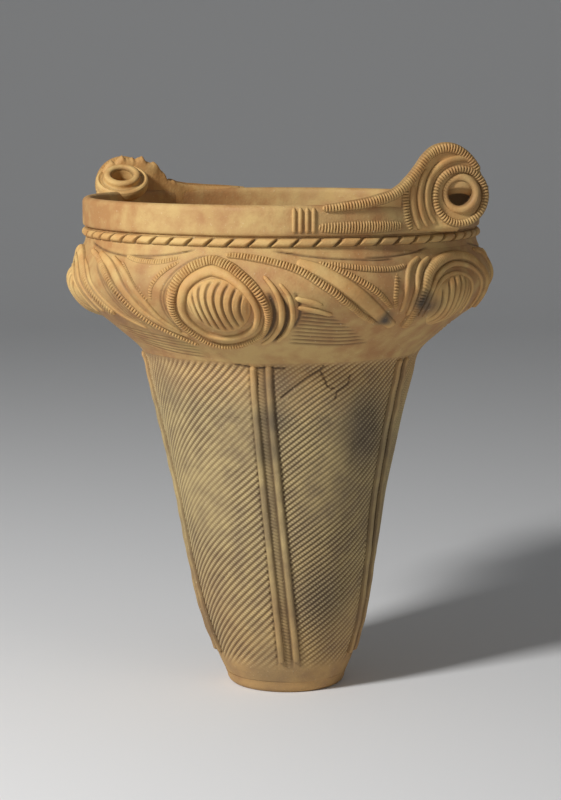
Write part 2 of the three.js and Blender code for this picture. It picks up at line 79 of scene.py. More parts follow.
# %% Skin of the jar
FOOT_TOP, BODY_TOP, WIDEST, NECK_FOOT, NECK_TOP, RIM_HEIGHT = 12, 350, 424, 461, 477, 506
NECK_RADIUS, COLLAR_RADIUS, WALL = 198, 202, 11
STATIONS = np.array([
    (8, 61.5), (30, 71), (78, 86.5), (138, 98.5), (200, 108.5), (262, 121.5), (324, 136),
    (BODY_TOP, 144), (374, 170), (398, 198), (WIDEST, 213), (446, 208), (NECK_FOOT, 200),
    (NECK_TOP, NECK_RADIUS),
])
LEAN, LEAN_HEIGHT, LEAN_TURN = 5.5, 303, VIEW_TURN


def smooth_curve(stations, at):
    """Value of the smooth curve through the stations."""
    x, y = stations[:, 0], stations[:, 1]
    slope = np.empty(len(x))
    slope[1:-1] = (y[2:] - y[:-2]) / (x[2:] - x[:-2])
    slope[0] = (y[1] - y[0]) / (x[1] - x[0])
    slope[-1] = (y[-1] - y[-2]) / (x[-1] - x[-2])
    i = np.clip(np.searchsorted(x, at, side="right") - 1, 0, len(x) - 2)
    span = x[i + 1] - x[i]
    t = (at - x[i]) / span
    keep = (1 + 2 * t) * (1 - t) ** 2
    reach = t * t * (3 - 2 * t)
    return (keep * y[i] + reach * y[i + 1] + t * (1 - t) ** 2 * span * slope[i]
            + t * t * (t - 1) * span * slope[i + 1])


def skin_radius(height):
    height = np.asarray(height, float)
    curve = smooth_curve(STATIONS, np.minimum(height, NECK_TOP))
    return np.where(height >= NECK_TOP, NECK_RADIUS, curve)


def skin_slope(height):
    """Change of the radius over one millimetre of height."""
    return skin_radius(np.asarray(height) + 0.5) - skin_radius(np.asarray(height) - 0.5)


def centre_at(height):
    part = np.clip(np.asarray(height, float) / LEAN_HEIGHT, 0, 1)
    shift = -LEAN * np.sin(math.pi / 2 * part)
    return shift * math.cos(LEAN_TURN), shift * math.sin(LEAN_TURN)


def polar(degrees, radius, height):
    x, y = centre_at(height)
    turn = np.radians(degrees)
    return np.stack([x + radius * np.cos(turn), y + radius * np.sin(turn),
                     np.broadcast_to(height, np.shape(turn))], -1)


def on_skin(degrees, height, lift):
    """Points that stand out from the skin by lift, square to it."""
    slope = skin_slope(height)
    length = np.hypot(1, slope)
    return polar(degrees, skin_radius(height) + lift / length, height - lift * slope / length)


print("widest skin:", float(skin_radius(WIDEST)), "mm")

# %% [markdown]
# The inside of the wall runs one wall's thickness behind the skin. Moving each point of the skin
# square to it keeps the wall equally thick where the shoulder bulges, which a smaller radius
# alone would not.

# %% Inside of the wall
behind = np.arange(8.0, NECK_TOP + 1)
behind_length = np.hypot(1, skin_slope(behind))
INNER_HEIGHTS = behind + WALL * skin_slope(behind) / behind_length
INNER_RADII = skin_radius(behind) - WALL / behind_length


def inner_radius(height):
    return np.interp(height, INNER_HEIGHTS, INNER_RADII)


print("inside the shoulder:", round(float(inner_radius(WIDEST)), 1), "mm")

# %% [markdown]
# Hand-made clay is never quite regular. A noise texture could move the points, but a sum of a
# few waves in fixed directions needs no image and gives the same gentle unevenness on each run.

# %% Unevenness
WAVES, WAVE_SUM = 7, 3.2


def ripple(points, scale, seed):
    """Smooth noise of about -1 to 1 at points in millimetres."""
    draw = np.random.default_rng(seed)
    total = np.zeros(len(points))
    for _ in range(WAVES):
        way = draw.normal(size=3)
        way *= draw.uniform(0.6, 1.5) * 2 * math.pi / scale / np.linalg.norm(way)
        total += np.sin(points @ way + draw.uniform(0, 6.28))
    return total / WAVE_SUM


print("ripple at the rim:", float(ripple(np.array([[200.0, 0, 500]]), 60, 1)[0]))

# %% [markdown]
# Material sums are easier to read as sums. A small class wraps a shader socket, and each plus,
# minus or times that is written adds the Math node that a maker would place by hand.

# %% Sums of sockets


class Wire:
    """A shader socket that can be used in sums."""

    def __init__(self, tree, socket):
        self.tree, self.socket = tree, socket

    def maths(self, operation, other, swapped=False):
        node = self.tree.nodes.new("ShaderNodeMath")
        node.operation = operation
        for i, value in enumerate((other, self) if swapped else (self, other)):
            if isinstance(value, Wire):
                self.tree.links.new(value.socket, node.inputs[i])
            else:
                node.inputs[i].default_value = value
        return Wire(self.tree, node.outputs[0])

    def __add__(self, other):
        return self.maths("ADD", other)

    def __sub__(self, other):
        return self.maths("SUBTRACT", other)

    def __rsub__(self, other):
        return self.maths("SUBTRACT", other, True)

    def __mul__(self, other):
        return self.maths("MULTIPLY", other)

    __radd__, __rmul__ = __add__, __mul__


print("a wire adds, subtracts and multiplies through", Wire.maths.__name__)

# %% [markdown]
# Every other node comes from one method, which takes its type, its settings and what feeds it.
# Ramps and colour mixes have methods of their own, because a finish is mostly made of those.

# %% Recipes


class Recipe:
    """A material being put together."""

    def __init__(self, name):
        self.material = bpy.data.materials.new(name)
        self.material.use_nodes = True
        self.tree = self.material.node_tree
        self.shader = self.tree.nodes["Principled BSDF"]

    def node(self, kind, settings=None, out=0, **values):
        made = self.tree.nodes.new(kind)
        for key, value in (settings or {}).items():
            setattr(made, key, value)
        for key, value in values.items():
            socket = made.inputs[key.replace("_", " ")]
            if isinstance(value, Wire):
                self.tree.links.new(value.socket, socket)
            else:
                socket.default_value = value
        return Wire(self.tree, made.outputs[out])

    def ramp(self, wire, stops):
        """Greys that follow a value, as (place, grey) from stop to stop."""
        made = self.tree.nodes.new("ShaderNodeValToRGB")
        bar = made.color_ramp
        while len(bar.elements) < len(stops):
            bar.elements.new(0.5)
        for element, (place, grey) in zip(bar.elements, stops):
            element.position = place
            element.color = (grey, grey, grey, 1)
        self.tree.links.new(wire.socket, made.inputs[0])
        return Wire(self.tree, made.outputs[0])

    def between(self, wire, low, high):
        """0 where the value is at or under low, 1 from high on."""
        return self.ramp(wire, [(low, 0), (high, 1)])

    def mix(self, factor, first, second):
        made = self.tree.nodes.new("ShaderNodeMix")
        made.data_type = "RGBA"
        for index, value in ((0, factor), (6, first), (7, second)):
            if isinstance(value, Wire):
                self.tree.links.new(value.socket, made.inputs[index])
            else:
                made.inputs[index].default_value = value
        return Wire(self.tree, made.outputs[2])

    def feed(self, name, wire):
        self.tree.links.new(wire.socket, self.shader.inputs[name])


print("recipe methods:", [name for name in vars(Recipe) if not name.startswith("_")])

# %% [markdown]
# Low-fired clay is orange where the air reached it and grey-brown where smoke did, so each part
# of the jar has a light and a dark tone of its own. Soot darkened the body and the shoulder in
# some places. Two of them, on the back, are guesses.

# %% Colours of the clay
COLOURS = {
    "foot": ((0.52, 0.31, 0.115), (0.38, 0.21, 0.08)),
    "body": ((0.44, 0.325, 0.145), (0.27, 0.19, 0.09)),
    "shoulder": ((0.55, 0.365, 0.14), (0.41, 0.205, 0.07)),
    "trim": ((0.64, 0.425, 0.16), (0.53, 0.28, 0.09)),
}
SMOKE_SHARE = {"foot": 0.45, "body": 0.7, "shoulder": 0.45, "trim": 0.45}
# The dark groove colour is painted shade, and the pale crest colour is a painted highlight.
SMOKE, SOOT, GROOVE_SHADE = (0.10, 0.07, 0.045, 1), (0.075, 0.055, 0.04, 1), (0.085, 0.045, 0.018, 1)
CREST_HIGHLIGHT, GRIT = (0.74, 0.60, 0.33, 1), (0.72, 0.56, 0.33, 1)
# Place and reach in metres, and how dark
FIRE_CLOUDS = (
    ((0.120, -0.036, 0.285), 0.045, 0.75), ((0.118, -0.030, 0.258), 0.035, 0.7),
    ((0.076, -0.054, 0.103), 0.045, 0.6), ((0.068, -0.118, 0.33), 0.028, 0.6),
    ((0.059, -0.112, 0.293), 0.026, 0.7), ((0.050, -0.110, 0.262), 0.022, 0.6),
    ((0.176, -0.094, 0.392), 0.016, 0.95), ((0.198, -0.066, 0.412), 0.016, 0.9),
    ((0.196, -0.052, 0.404), 0.020, 0.8), ((-0.09, 0.06, 0.2), 0.08, 0.6),
    ((0.03, 0.10, 0.16), 0.06, 0.6), ((-0.05, -0.07, 0.06), 0.04, 0.4),
)
# The body is as orange as the foot at its two ends, by share of a height in metres
WARM_HEIGHT = 0.36
WARM_ENDS = [(0.04, 0.9), (0.30, 0.25), (0.45, 0), (0.82, 0), (0.97, 0.9)]
print("fire clouds:", len(FIRE_CLOUDS))

# %% [markdown]
# One recipe serves the whole jar. Noise at four scales mottles the two tones, lays the smoke and
# strews the grit. The meshes carry an attribute, hollow, that is above 0 in grooves, which get
# painted shade, and below 0 on crests, which get a painted highlight. An image could be painted
# for this, but the attribute follows every mark exactly.

# %% Clay
made_clays = {}


def two_tones(recipe, blend, slot):
    light, dark = COLOURS[slot]
    return recipe.mix(blend, (*dark, 1), (*light, 1))


def with_soot(recipe, colour, where, mottle):
    for place, reach, strength in FIRE_CLOUDS:
        away = recipe.node("ShaderNodeVectorMath", {"operation": "DISTANCE"}, out=1, Vector=where)
        away.socket.node.inputs[1].default_value = place
        mask = recipe.between((1 - away * (1 / reach)) + (mottle - 0.5) * 0.9, 0.05, 0.75)
        colour = recipe.mix(mask * strength, colour, SOOT)
    return colour


def clay_material(slot):
    if slot in made_clays:
        return made_clays[slot]
    recipe = Recipe(slot + "_clay")
    where = recipe.node("ShaderNodeTexCoord", out=3)
    broad, mottle, grit, cloud = [
        recipe.node("ShaderNodeTexNoise", Vector=where, Scale=scale, Detail=detail)
        for scale, detail in ((9.0, 4.0), (60.0, 6.0), (420.0, 3.0), (5.0, 3.0))]
    blend = recipe.between(broad * 0.5 + mottle * 0.5, 0.40, 0.60)
    colour = two_tones(recipe, blend, slot)
    if slot == "body":
        height = recipe.node("ShaderNodeSeparateXYZ", out=2, Vector=where)
        warm = recipe.ramp(height * (1 / WARM_HEIGHT) + (broad - 0.5) * 0.3, WARM_ENDS)
        colour = recipe.mix(warm, colour, two_tones(recipe, blend, "foot"))
    colour = recipe.mix(recipe.between(cloud, 0.56, 0.72) * SMOKE_SHARE[slot], colour, SMOKE)
    colour = with_soot(recipe, colour, where, mottle)
    hollow = recipe.node("ShaderNodeAttribute", {"attribute_name": "hollow"}, out=2)
    # Painted shade darkens grooves, notches and creases, and a painted highlight lightens crests.
    colour = recipe.mix(recipe.between(hollow, 0, 1) * 0.9, colour, GROOVE_SHADE)
    colour = recipe.mix(recipe.between(hollow * -1.0, 0, 1) * 0.75, colour, CREST_HIGHLIGHT)
    colour = recipe.mix(recipe.between(grit, 0.66, 0.72) * 0.35, colour, GRIT)
    recipe.feed("Base Color", colour)
    recipe.feed("Roughness", recipe.ramp(mottle, [(0.3, 0.62), (0.7, 0.86)]))
    recipe.feed("Normal", recipe.node("ShaderNodeBump", Height=grit * 0.5 + mottle * 0.9,
                                      Distance=0.0011, Strength=0.7))
    made_clays[slot] = recipe.material
    print(recipe.material.name, len(recipe.tree.nodes), "nodes")
    return recipe.material


# %% [markdown]
# A sheet of clay is added as a flat grid, and each of its points is carried to its place. A
# modifier could wrap it, but working the places out lets marks, seams and flared edges follow
# the pot exactly. A grid whose two ends meet is closed by merging its doubles, and a strip whose
# ends narrow to a point closes there.

# %% A sheet of clay
DOUBLES, CREASE = 1e-6, math.radians(75)


def clay_sheet(name, cells_u, cells_v, place, nodes, slot):
    """A grid of cells, wrapped by place(u, v) -> points in mm and hollowness from -1 to 1."""
    bpy.ops.object.select_all(action="DESELECT")
    bpy.ops.mesh.primitive_grid_add(x_subdivisions=cells_u, y_subdivisions=cells_v, size=2)
    piece = bpy.context.object
    piece.name = name
    mesh = piece.data
    mesh.name = name
    flat = np.empty(len(mesh.vertices) * 3)
    mesh.vertices.foreach_get("co", flat)
    flat = flat.reshape(-1, 3)
    points, hollow = place((flat[:, 0] + 1) / 2, (flat[:, 1] + 1) / 2)
    mesh.vertices.foreach_set("co", (points * MM).ravel())
    # hollow carries painted shade for grooves and a painted highlight for crests.
    kept = mesh.attributes.new("hollow", "FLOAT", "POINT")
    kept.data.foreach_set("value", np.clip(hollow, -1, 1).astype(np.float32))
    bpy.ops.object.mode_set(mode="EDIT")
    bpy.ops.mesh.select_all(action="SELECT")
    bpy.ops.mesh.remove_doubles(threshold=DOUBLES)
    bpy.ops.mesh.normals_make_consistent(inside=False)
    bpy.ops.object.mode_set(mode="OBJECT")
    bpy.ops.object.shade_smooth_by_angle(angle=CREASE)
    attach(piece, "root")
    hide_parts(*nodes)
    piece.data.materials.append(clay_material(slot))
    print(name, len(mesh.polygons), "faces")
    return piece


# %% [markdown]
# Fillets, tool strokes and the crest of a handle all run along soft lines through a few given
# points. A centripetal curve is used, because it never loops or overshoots where two of the
# points lie close together.

# %% Soft lines
CURVE_PARTS = 24


def soft_line(points, closed=False, turn=0):
    """Centripetal curve through the points; turn is 360 for a line right round the jar."""
    points = np.asarray(points, float)
    whole = np.array([turn, 0.0])
    if closed:
        ring = np.vstack([points[-1] - whole, points, points[0] + whole, points[1] + whole])
    else:
        ring = np.vstack([2 * points[0] - points[1], points, 2 * points[-1] - points[-2]])
    pieces = []
    for p0, p1, p2, p3 in zip(ring, ring[1:], ring[2:], ring[3:]):
        t1 = np.linalg.norm(p1 - p0) ** 0.5
        t2 = t1 + np.linalg.norm(p2 - p1) ** 0.5
        t3 = t2 + np.linalg.norm(p3 - p2) ** 0.5
        t = np.linspace(t1, t2, CURVE_PARTS, endpoint=False)[:, None]
        a1 = (t1 - t) / t1 * p0 + t / t1 * p1
        a2 = (t2 - t) / (t2 - t1) * p1 + (t - t1) / (t2 - t1) * p2
        a3 = (t3 - t) / (t3 - t2) * p2 + (t - t2) / (t3 - t2) * p3
        b1 = (t2 - t) / t2 * a1 + t / t2 * a2
        b2 = (t3 - t) / (t3 - t1) * a2 + (t - t1) / (t3 - t1) * a3
        pieces.append((t2 - t) / (t2 - t1) * b1 + (t - t1) / (t2 - t1) * b2)
    return np.vstack(pieces + [points[:1] + whole if closed else points[-1:]])


def run_along(path):
    """Distance from the first point to each point of a path."""
    steps = np.linalg.norm(np.diff(path, axis=0), axis=1)
    return np.concatenate([[0], np.cumsum(steps)])


print("points on a line through three:", len(soft_line([(0, 0), (3, 4), (6, 0)])))

# %% [markdown]
# Five pairs of bands divide the body into panels. In each panel the potter rolled a twisted cord
# over the damp clay, which left slanting rows of small beads. They are real relief here, worked
# out from rows and beads by a formula, so that they show in the mesh and not in shading alone.

# %% Cord marks
BAND_ANGLES = (-65, 3, 75, 147, 219)
PANEL = 72
BAND_TOP, BAND_FOOT, BAND_DRIFT, BAND_SPREAD = 340, 34, 11, 6.5
CORD_PITCH, BEAD_PITCH, CORD_RISE = 4.8, 2.9, math.radians(41)


def band_middle(angle, height):
    """Where a pair of bands stands at a height, as it drifts round on its way down."""
    down = np.clip((BAND_TOP - height) / (BAND_TOP - BAND_FOOT), 0, 1)
    return angle + BAND_DRIFT * down ** 1.5


def cord_marks(degrees, height):
    """How far the cord sank in, from 0 to 1, in panels between the bands."""
    panel = np.floor((degrees - band_middle(BAND_ANGLES[0], height)) / PANEL)
    middle = band_middle(BAND_ANGLES[0], height) + PANEL / 2 + PANEL * panel
    side = np.radians(degrees - middle) * skin_radius(height)
    turn = CORD_RISE + 0.05 * np.sin(panel * 2.3)
    sway = 2.4 * np.sin(side / 29 + panel * 1.3) + 1.8 * np.sin(height / 37 + panel * 1.7)
    row = (height * np.cos(turn) - side * np.sin(turn) + sway) / CORD_PITCH
    along = (side * np.cos(turn) + height * np.sin(turn)) / BEAD_PITCH + 0.37 * np.floor(row)
    press = np.clip(0.5 + 0.5 * np.cos(2 * math.pi * row), 0, 1) ** 1.7
    bead = 0.5 + 0.5 * np.cos(2 * math.pi * (along + 0.5 * (row - np.floor(row))))
    return np.clip(press + 0.75 * bead ** 2 * (1 - press), 0, 1)


print("cord at one place:", round(float(cord_marks(-30.0, 200.0)), 3))

# %% [markdown]
# Fine cracks run through the wall under the shoulder. Each is a chain of straight lines, given
# as degrees and heights, because a crack in clay turns sharply. They are cut a little into the
# mesh and darkened with painted shade.

# %% Cracks
CRACK_RADIUS, CRACK_HALF_WIDTH = 137, 1.5
CRACKS = (
    [(-75.1, 348), (-71.5, 347), (-67.6, 345), (-61.5, 345), (-55.7, 345)],
    [(-67.6, 345), (-66.6, 330), (-67.6, 318)],
    [(-40, 347), (-41.3, 343), (-38.9, 333), (-37.4, 326), (-34.4, 323)],
    [(-41.3, 343), (-46.2, 336), (-52.1, 325), (-56.8, 316)],
    [(-27.6, 336), (-28.3, 327), (-32.7, 320), (-33.4, 313)],
)


def crack_marks(degrees, height):
    """Nearness to a hairline crack, 1 on it."""
    close = np.zeros(len(degrees))
    spot = np.stack([np.radians(((degrees + 180) % 360) - 180) * CRACK_RADIUS, height], -1)
    for crack in CRACKS:
        points = np.array([(math.radians(a) * CRACK_RADIUS, h) for a, h in crack])
        for a, b in zip(points, points[1:]):
            t = np.clip(((spot - a) @ (b - a)) / ((b - a) @ (b - a)), 0, 1)
            gap = np.linalg.norm(spot - a - t[:, None] * (b - a), axis=1)
            close = np.maximum(close, np.clip(CRACK_HALF_WIDTH - gap, 0, 1))
    return close


print("cracks:", len(CRACKS))

# %% [markdown]
# The potter also drew a blunt tool over the shoulder. Carving each stroke out of the mesh would
# be slow, so the strokes are drawn on a map of the shoulder that keeps the deepest mark at each
# place, and the mesh reads the map when it is filled.

# %% Tool strokes
MAP_LOW, MAP_HIGH, MAP_UP, MAP_AROUND = 346.0, 466.0, 0.5, 0.15
STROKE_STEP, STROKE_REACH, STROKE_FADE = 0.7, 2.2, 7.0
MEAN_RADIUS, NARROWEST_DEGREE = 205, 3.3
stroke_map = np.zeros((int((MAP_HIGH - MAP_LOW) / MAP_UP) + 1, int(360 / MAP_AROUND)))


def carve(line, depth, width):
    """Draws a tool along a line on the shoulder, deepest in the middle of the stroke."""
    path = soft_line(line)
    run = run_along(on_skin(path[:, 0], path[:, 1], np.zeros(len(path))))
    at = np.arange(0, run[-1], STROKE_STEP)
    degrees, height = np.interp(at, run, path[:, 0]), np.interp(at, run, path[:, 1])
    press = depth * np.clip(np.minimum(at, run[-1] - at) / STROKE_FADE, 0, 1) ** 0.6
    reach_up = int(STROKE_REACH * width / MAP_UP)
    reach_side = int(STROKE_REACH * width / (MAP_AROUND * NARROWEST_DEGREE)) + 1
    up, side = np.meshgrid(np.arange(-reach_up, reach_up + 1),
                           np.arange(-reach_side, reach_side + 1), indexing="ij")
    row = np.rint((height - MAP_LOW) / MAP_UP).astype(int)[:, None, None] + up
    column = np.rint(degrees / MAP_AROUND).astype(int)[:, None, None] + side
    tall = np.hypot(1, skin_slope(height))[:, None, None]
    dy = (row * MAP_UP + MAP_LOW - height[:, None, None]) * tall
    dx = np.radians(column * MAP_AROUND - degrees[:, None, None]) * MEAN_RADIUS
    value = press[:, None, None] * np.exp(-(dx ** 2 + dy ** 2) / (width / 2) ** 2)
    row = np.clip(row, 0, stroke_map.shape[0] - 1)
    np.maximum.at(stroke_map, (row, column % stroke_map.shape[1]), value)


def shoulder_lines(degrees, height):
    """Lift and hollowness of the tool strokes, read between the map's points."""
    row = np.clip((height - MAP_LOW) / MAP_UP, 0, stroke_map.shape[0] - 1.001)
    column = np.mod(degrees, 360) / MAP_AROUND
    i, j = np.floor(row).astype(int), np.floor(column).astype(int)
    a, b = row - i, column - j
    wide = stroke_map.shape[1]
    depth = ((1 - a) * (1 - b) * stroke_map[i, j % wide]
             + (1 - a) * b * stroke_map[i, (j + 1) % wide]
             + a * (1 - b) * stroke_map[i + 1, j % wide]
             + a * b * stroke_map[i + 1, (j + 1) % wide])
    inside = (height > MAP_LOW) & (height < MAP_HIGH)
    # The hollowness returned here gives the strokes painted shade.
    return -depth * inside, np.clip(depth * 0.6, 0, 1) * inside


print("stroke map:", stroke_map.shape)

# %% [markdown]
# Five whorls stand round the shoulder. The ring of two of them is closed, as in front, and that
# of the others is open. The strokes round each are given from its middle, as degrees and
# heights, so that one drawing serves all whorls of a kind.

# %% Strokes round the whorls
WHORLS = ((-73, True), (68, True), (-4, False), (140, False), (219, False))
WHORL_HEIGHT = 411
# Depth, width and line
CRESCENT_HOLLOWS = (
    (2.4, 4.2, [(13.8, 432), (15.6, 421), (17.4, 409), (17.6, 397), (16.3, 384), (13.4, 374)]),
    (2.4, 4, [(13, 424), (14, 412), (14.2, 400), (13.2, 388), (10.4, 377)]),
    (1.8, 3.4, [(19.6, 425), (20.9, 413), (20.9, 400), (19.6, 388)]),
)
NECK_STROKES = (
    (1.4, 1.7, [(-30, 455.5), (-22, 456), (-14, 459), (-8, 463)]),
    (1.5, 1.8, [(14, 463), (21.8, 459), (28.5, 456.5), (35.2, 455), (42.3, 453.5), (48, 454)]),
)
HALO = [(0, 449), (-5, 448), (-9.4, 439), (-12.6, 422), (-13.6, 405), (-12.4, 388)]


def beside(centre, line):
    """A line given from a whorl's middle, moved to that whorl."""
    return [(centre + degrees, height) for degrees, height in line]


def closed_whorl_strokes(centre):
    for depth, width, line in CRESCENT_HOLLOWS:
        carve(beside(centre, line), depth, width)
    for step in range(9):
        low = 403.5 - 4.0 * step
        comb = [(20.5 - 0.25 * step, low + 1.5), (24, low), (28 + step, low - 2.4),
                (31 + 1.9 * step, low - 4 + 0.35 * step)]
        carve(beside(centre, comb), 1.5, 2.3)
    for share in (1.13, 1.2, 1.27):
        carve([(centre + a * share, WHORL_HEIGHT + (h - WHORL_HEIGHT) * share * 0.97)
               for a, h in HALO], 1.1, 1.6)


def open_whorl_strokes(centre):
    for step in range(6):
        low = 356 + 3.6 * step
        carve(beside(centre, [(24 - step, low + 8), (34, low + 3), (44, low), (54, low - 2)]),
              1.0, 2.0)
    for step in range(4):
        fan = [(24 + 2.6 * step, 444 - 5 * step), (29 + 2.2 * step, 428 - 5 * step),
               (32 + 2 * step, 408 - 4 * step), (35 + 2 * step, 390 - 3 * step)]
        carve(beside(centre, fan), 1.1, 2.2)


for centre, closed in WHORLS:
    if closed:
        closed_whorl_strokes(centre)
    else:
        open_whorl_strokes(centre)
    for depth, width, line in NECK_STROKES:
        carve(beside(centre, line), depth, width)
print("deepest stroke:", round(float(stroke_map.max()), 2), "mm")

# %% [markdown]
# The wall between the added pieces is one skin with all its marks on it: cords, cracks, strokes,
# and a bare strip round each pair of bands, with pits along its middle, a channel beside them
# and a shallow line at its edges. One function adds them up for whatever ring asks.

# %% Relief of the wall
MARKS_LOW, MARKS_HIGH = 26, BODY_TOP + 0.5
CORD_DEPTH, PIT_DEPTH, CHANNEL_DEPTH, CRACK_DEPTH = 1.3, 0.9, 1.2, 0.9
BARE_HALF, PIT_HALF, PIT_PITCH = 12, 4, 3.6
CHANNEL_AT, EDGE_LINE_AT = 3.6, 11.6


def beside_bands(degrees, height):
    """Nearness to a bare strip, to its pits and to its channels, each from 0 to 1."""
    bare = np.zeros(len(degrees))
    pits, channel = bare.copy(), bare.copy()
    for angle in BAND_ANGLES:
        gap = (degrees - band_middle(angle, height) + 180) % 360 - 180
        reach = np.radians(gap) * skin_radius(height)
        bare = np.maximum(bare, np.clip((BARE_HALF - np.abs(reach)) / 1.5, 0, 1))
        row = 0.5 + 0.5 * np.cos(2 * math.pi * (height / PIT_PITCH + reach / 7))
        pits = np.maximum(pits, row * np.clip((PIT_HALF - np.abs(reach + 1)) / 1.2, 0, 1))
        # The edge line is a shallow dip that also carries painted shadow along the bands' outer edges.
        edge_line = 0.6 * np.exp(-((np.abs(reach) - EDGE_LINE_AT) / 1.1) ** 2)
        channel = np.maximum(channel, np.exp(-((reach - CHANNEL_AT) / 1.5) ** 2))
        channel = np.maximum(channel, edge_line)
    return bare, pits, channel


def relief(degrees, height):
    """Lift in mm and hollowness of the bare wall at each place."""
    degrees = np.asarray(degrees, float)
    points = polar(degrees, skin_radius(height), height)
    patch = np.clip(0.85 + 0.4 * ripple(points, 110, 11), 0.5, 1)
    fade = np.clip((height - MARKS_LOW) / 12, 0, 1) * np.clip((MARKS_HIGH - height) / 5, 0, 1)
    bare, pits, channel = beside_bands(degrees, height)
    cords = cord_marks(degrees, height)
    crack = crack_marks(degrees, height) if np.min(height) < BODY_TOP + 1 else 0
    depth = cords * patch * fade * (1 - bare)
    # crest gives the raised wall between cord marks a painted highlight.
    crest = (1 - cords) * fade * (1 - bare) * patch
    strokes, stroke_hollow = shoulder_lines(degrees, height)
    lift = -CORD_DEPTH * depth + strokes - (PIT_DEPTH * pits + CHANNEL_DEPTH * channel) * fade
    # This hollowness puts painted shade in cord marks, pits, channels, strokes and cracks.
    hollow = 0.9 * depth + stroke_hollow + (0.5 * pits + 0.85 * channel) * fade + crack
    return lift - CRACK_DEPTH * crack, hollow - 0.8 * crest


lift, hollow = relief(np.array([-30.0, -60.0]), np.array([200.0, 200.0]))
print("lift at two places:", lift.round(2), "mm")

# %% [markdown]
# Foot, courses, shoulder and collar are all rings, as a potter's coils are. An outline gives a
# ring's section point by point, and the grid is wrapped round it. A spin would do that too, but
# the marks and the jar's lean are then harder to add.

# %% Rings of clay
WEAR_SCALE, WEAR = 70, 0.35


def loop_sheet(name, cells, outline, nodes, slot):
    """A ring of clay: outline is (radius, height, share of the relief), closed."""
    radii, heights, weights = np.array(outline).T

    def place(u, v):
        ring = np.rint(v * (len(radii) - 1)).astype(int)
        height = heights[ring]
        degrees = 360 * u
        points = polar(degrees, radii[ring], height)
        lift, hollow = relief(np.mod(degrees, 360), height)
        worn = ripple(points, WEAR_SCALE, 5) * WEAR - WEAR
        out = np.stack([np.cos(np.radians(degrees)), np.sin(np.radians(degrees))], -1)
        slope = skin_slope(height)
        length = np.hypot(1, slope)
        raised = (lift + worn) * weights[ring]
        points[:, :2] += out * (raised / length)[:, None]
        points[:, 2] -= np.where(weights[ring] > 0, raised * slope / length, 0)
        return points, hollow * weights[ring]

    return clay_sheet(name, cells, len(outline) - 1, place, nodes, slot)


print("wear of the skin: up to", 2 * WEAR, "mm")

# %% [markdown]
# The foot is a thick disc of clay with a worn, rounded edge. Its outline is turned round the
# jar's middle, and the underside stays flat because the jar stands on it.

# %% Foot
FOOT_OUTLINE = [(0.0, 0, 0), (56, 0, 0), (57.6, 0.7, 0), (59.6, 2.4, 0), (61, 5, 0), (61.5, 8, 0),
                (62.3, 10, 0), (63.1, FOOT_TOP, 0), (0.0, FOOT_TOP, 0)]
loop_sheet("foot", 240, FOOT_OUTLINE, ["foot_disc"], "foot")

# %% [markdown]
# The body is six courses of coils, each left to stiffen before the next was laid. A course is a
# ring with many rows outside, where the cord marks are, and few inside. The cells grow in number
# with the girth, so that they stay equally wide.

# %% Body
FINE = 1.0
COURSE_ROWS, INNER_ROWS = 62, 4
COURSE_CELLS = (560, 640, 720, 780, 860, 920)


def shell(name, low, high, rows, cells, nodes, slot):
    up = np.linspace(low, high, int(rows * FINE) + 1)
    down = np.linspace(high, low, INNER_ROWS)
    outline = [(float(skin_radius(h)), h, 1) for h in up]
    outline += [(float(inner_radius(h)), h, 0) for h in down]
    outline.append((float(skin_radius(low)), low, 1))
    return loop_sheet(name, int(cells * FINE), outline, nodes, slot)


course_step = (BODY_TOP - FOOT_TOP) / len(COURSE_CELLS)
for i, cells in enumerate(COURSE_CELLS):
    low = FOOT_TOP + course_step * i
    shell(f"body_{i + 1}", low, low + course_step, COURSE_ROWS, cells,
          [f"body_course_{i + 1}"], "body")

# %% [markdown]
# The shoulder is a wide hollow bulge, built as an underside and a top. Its tool strokes need a
# finer mesh than one piece may have, so the underside is made in two rings.

# %% Shoulder and neck
CHEEK_FOOT, SHOULDER_CELLS = 387, 1400
shell("shoulder_root", BODY_TOP, CHEEK_FOOT, 58, SHOULDER_CELLS, ["shoulder_underside"], "shoulder")
shell("shoulder_cheek", CHEEK_FOOT, WIDEST, 52, SHOULDER_CELLS, [], "shoulder")
shell("shoulder_brow", WIDEST, NECK_FOOT, 54, SHOULDER_CELLS, ["shoulder_top"], "shoulder")
shell("neck", NECK_FOOT, NECK_TOP, 16, 900, ["neck_band"], "shoulder")

# %% [markdown]
# The collar is a plain upright band, a little proud of the neck, with an edge that a wet thumb
# rounded. The rounding is an arc in the outline, so it needs no bevel.

# %% Collar
LIP_RADIUS, LIP_HEIGHT, LIP_RISE = 5.5, 500.4, 5.4


def collar_outline():
    outer = [(COLLAR_RADIUS - 1.6, NECK_TOP), (COLLAR_RADIUS - 0.4, 478), (COLLAR_RADIUS, 480)]
    outer += [(COLLAR_RADIUS, h) for h in np.linspace(484, 500, 9)]
    lip = [(COLLAR_RADIUS - LIP_RADIUS + LIP_RADIUS * math.cos(a), LIP_HEIGHT + LIP_RISE * math.sin(a))
           for a in np.linspace(0.2, math.pi - 0.2, 12)]
    inner = [(COLLAR_RADIUS - WALL, h) for h in np.linspace(499, NECK_TOP, 6)]
    return [(r, h, 0) for r, h in outer + lip + inner + [outer[0]]]


loop_sheet("collar", 900, collar_outline(), ["rim_collar"], "shoulder")

# %% [markdown]
# A strip of clay is laid along a line on the surface. A bevelled curve would be a plain tube,
# but a real strip flares into the wall where it was pressed on, and many carry notches cut
# across them with a split reed. So the strip is a sheet: 13 points over its top, three beneath.

# %% Laying a strip
TOP_SIDES = np.linspace(-1, 1, 13)
STRIP_SIDES = np.concatenate([TOP_SIDES, [0.6, 0.0, -0.6, -1]])
SUNK, UNDERSIDE, FLARE, POINTED = 0.9, -1.6, 1.12, 3.0


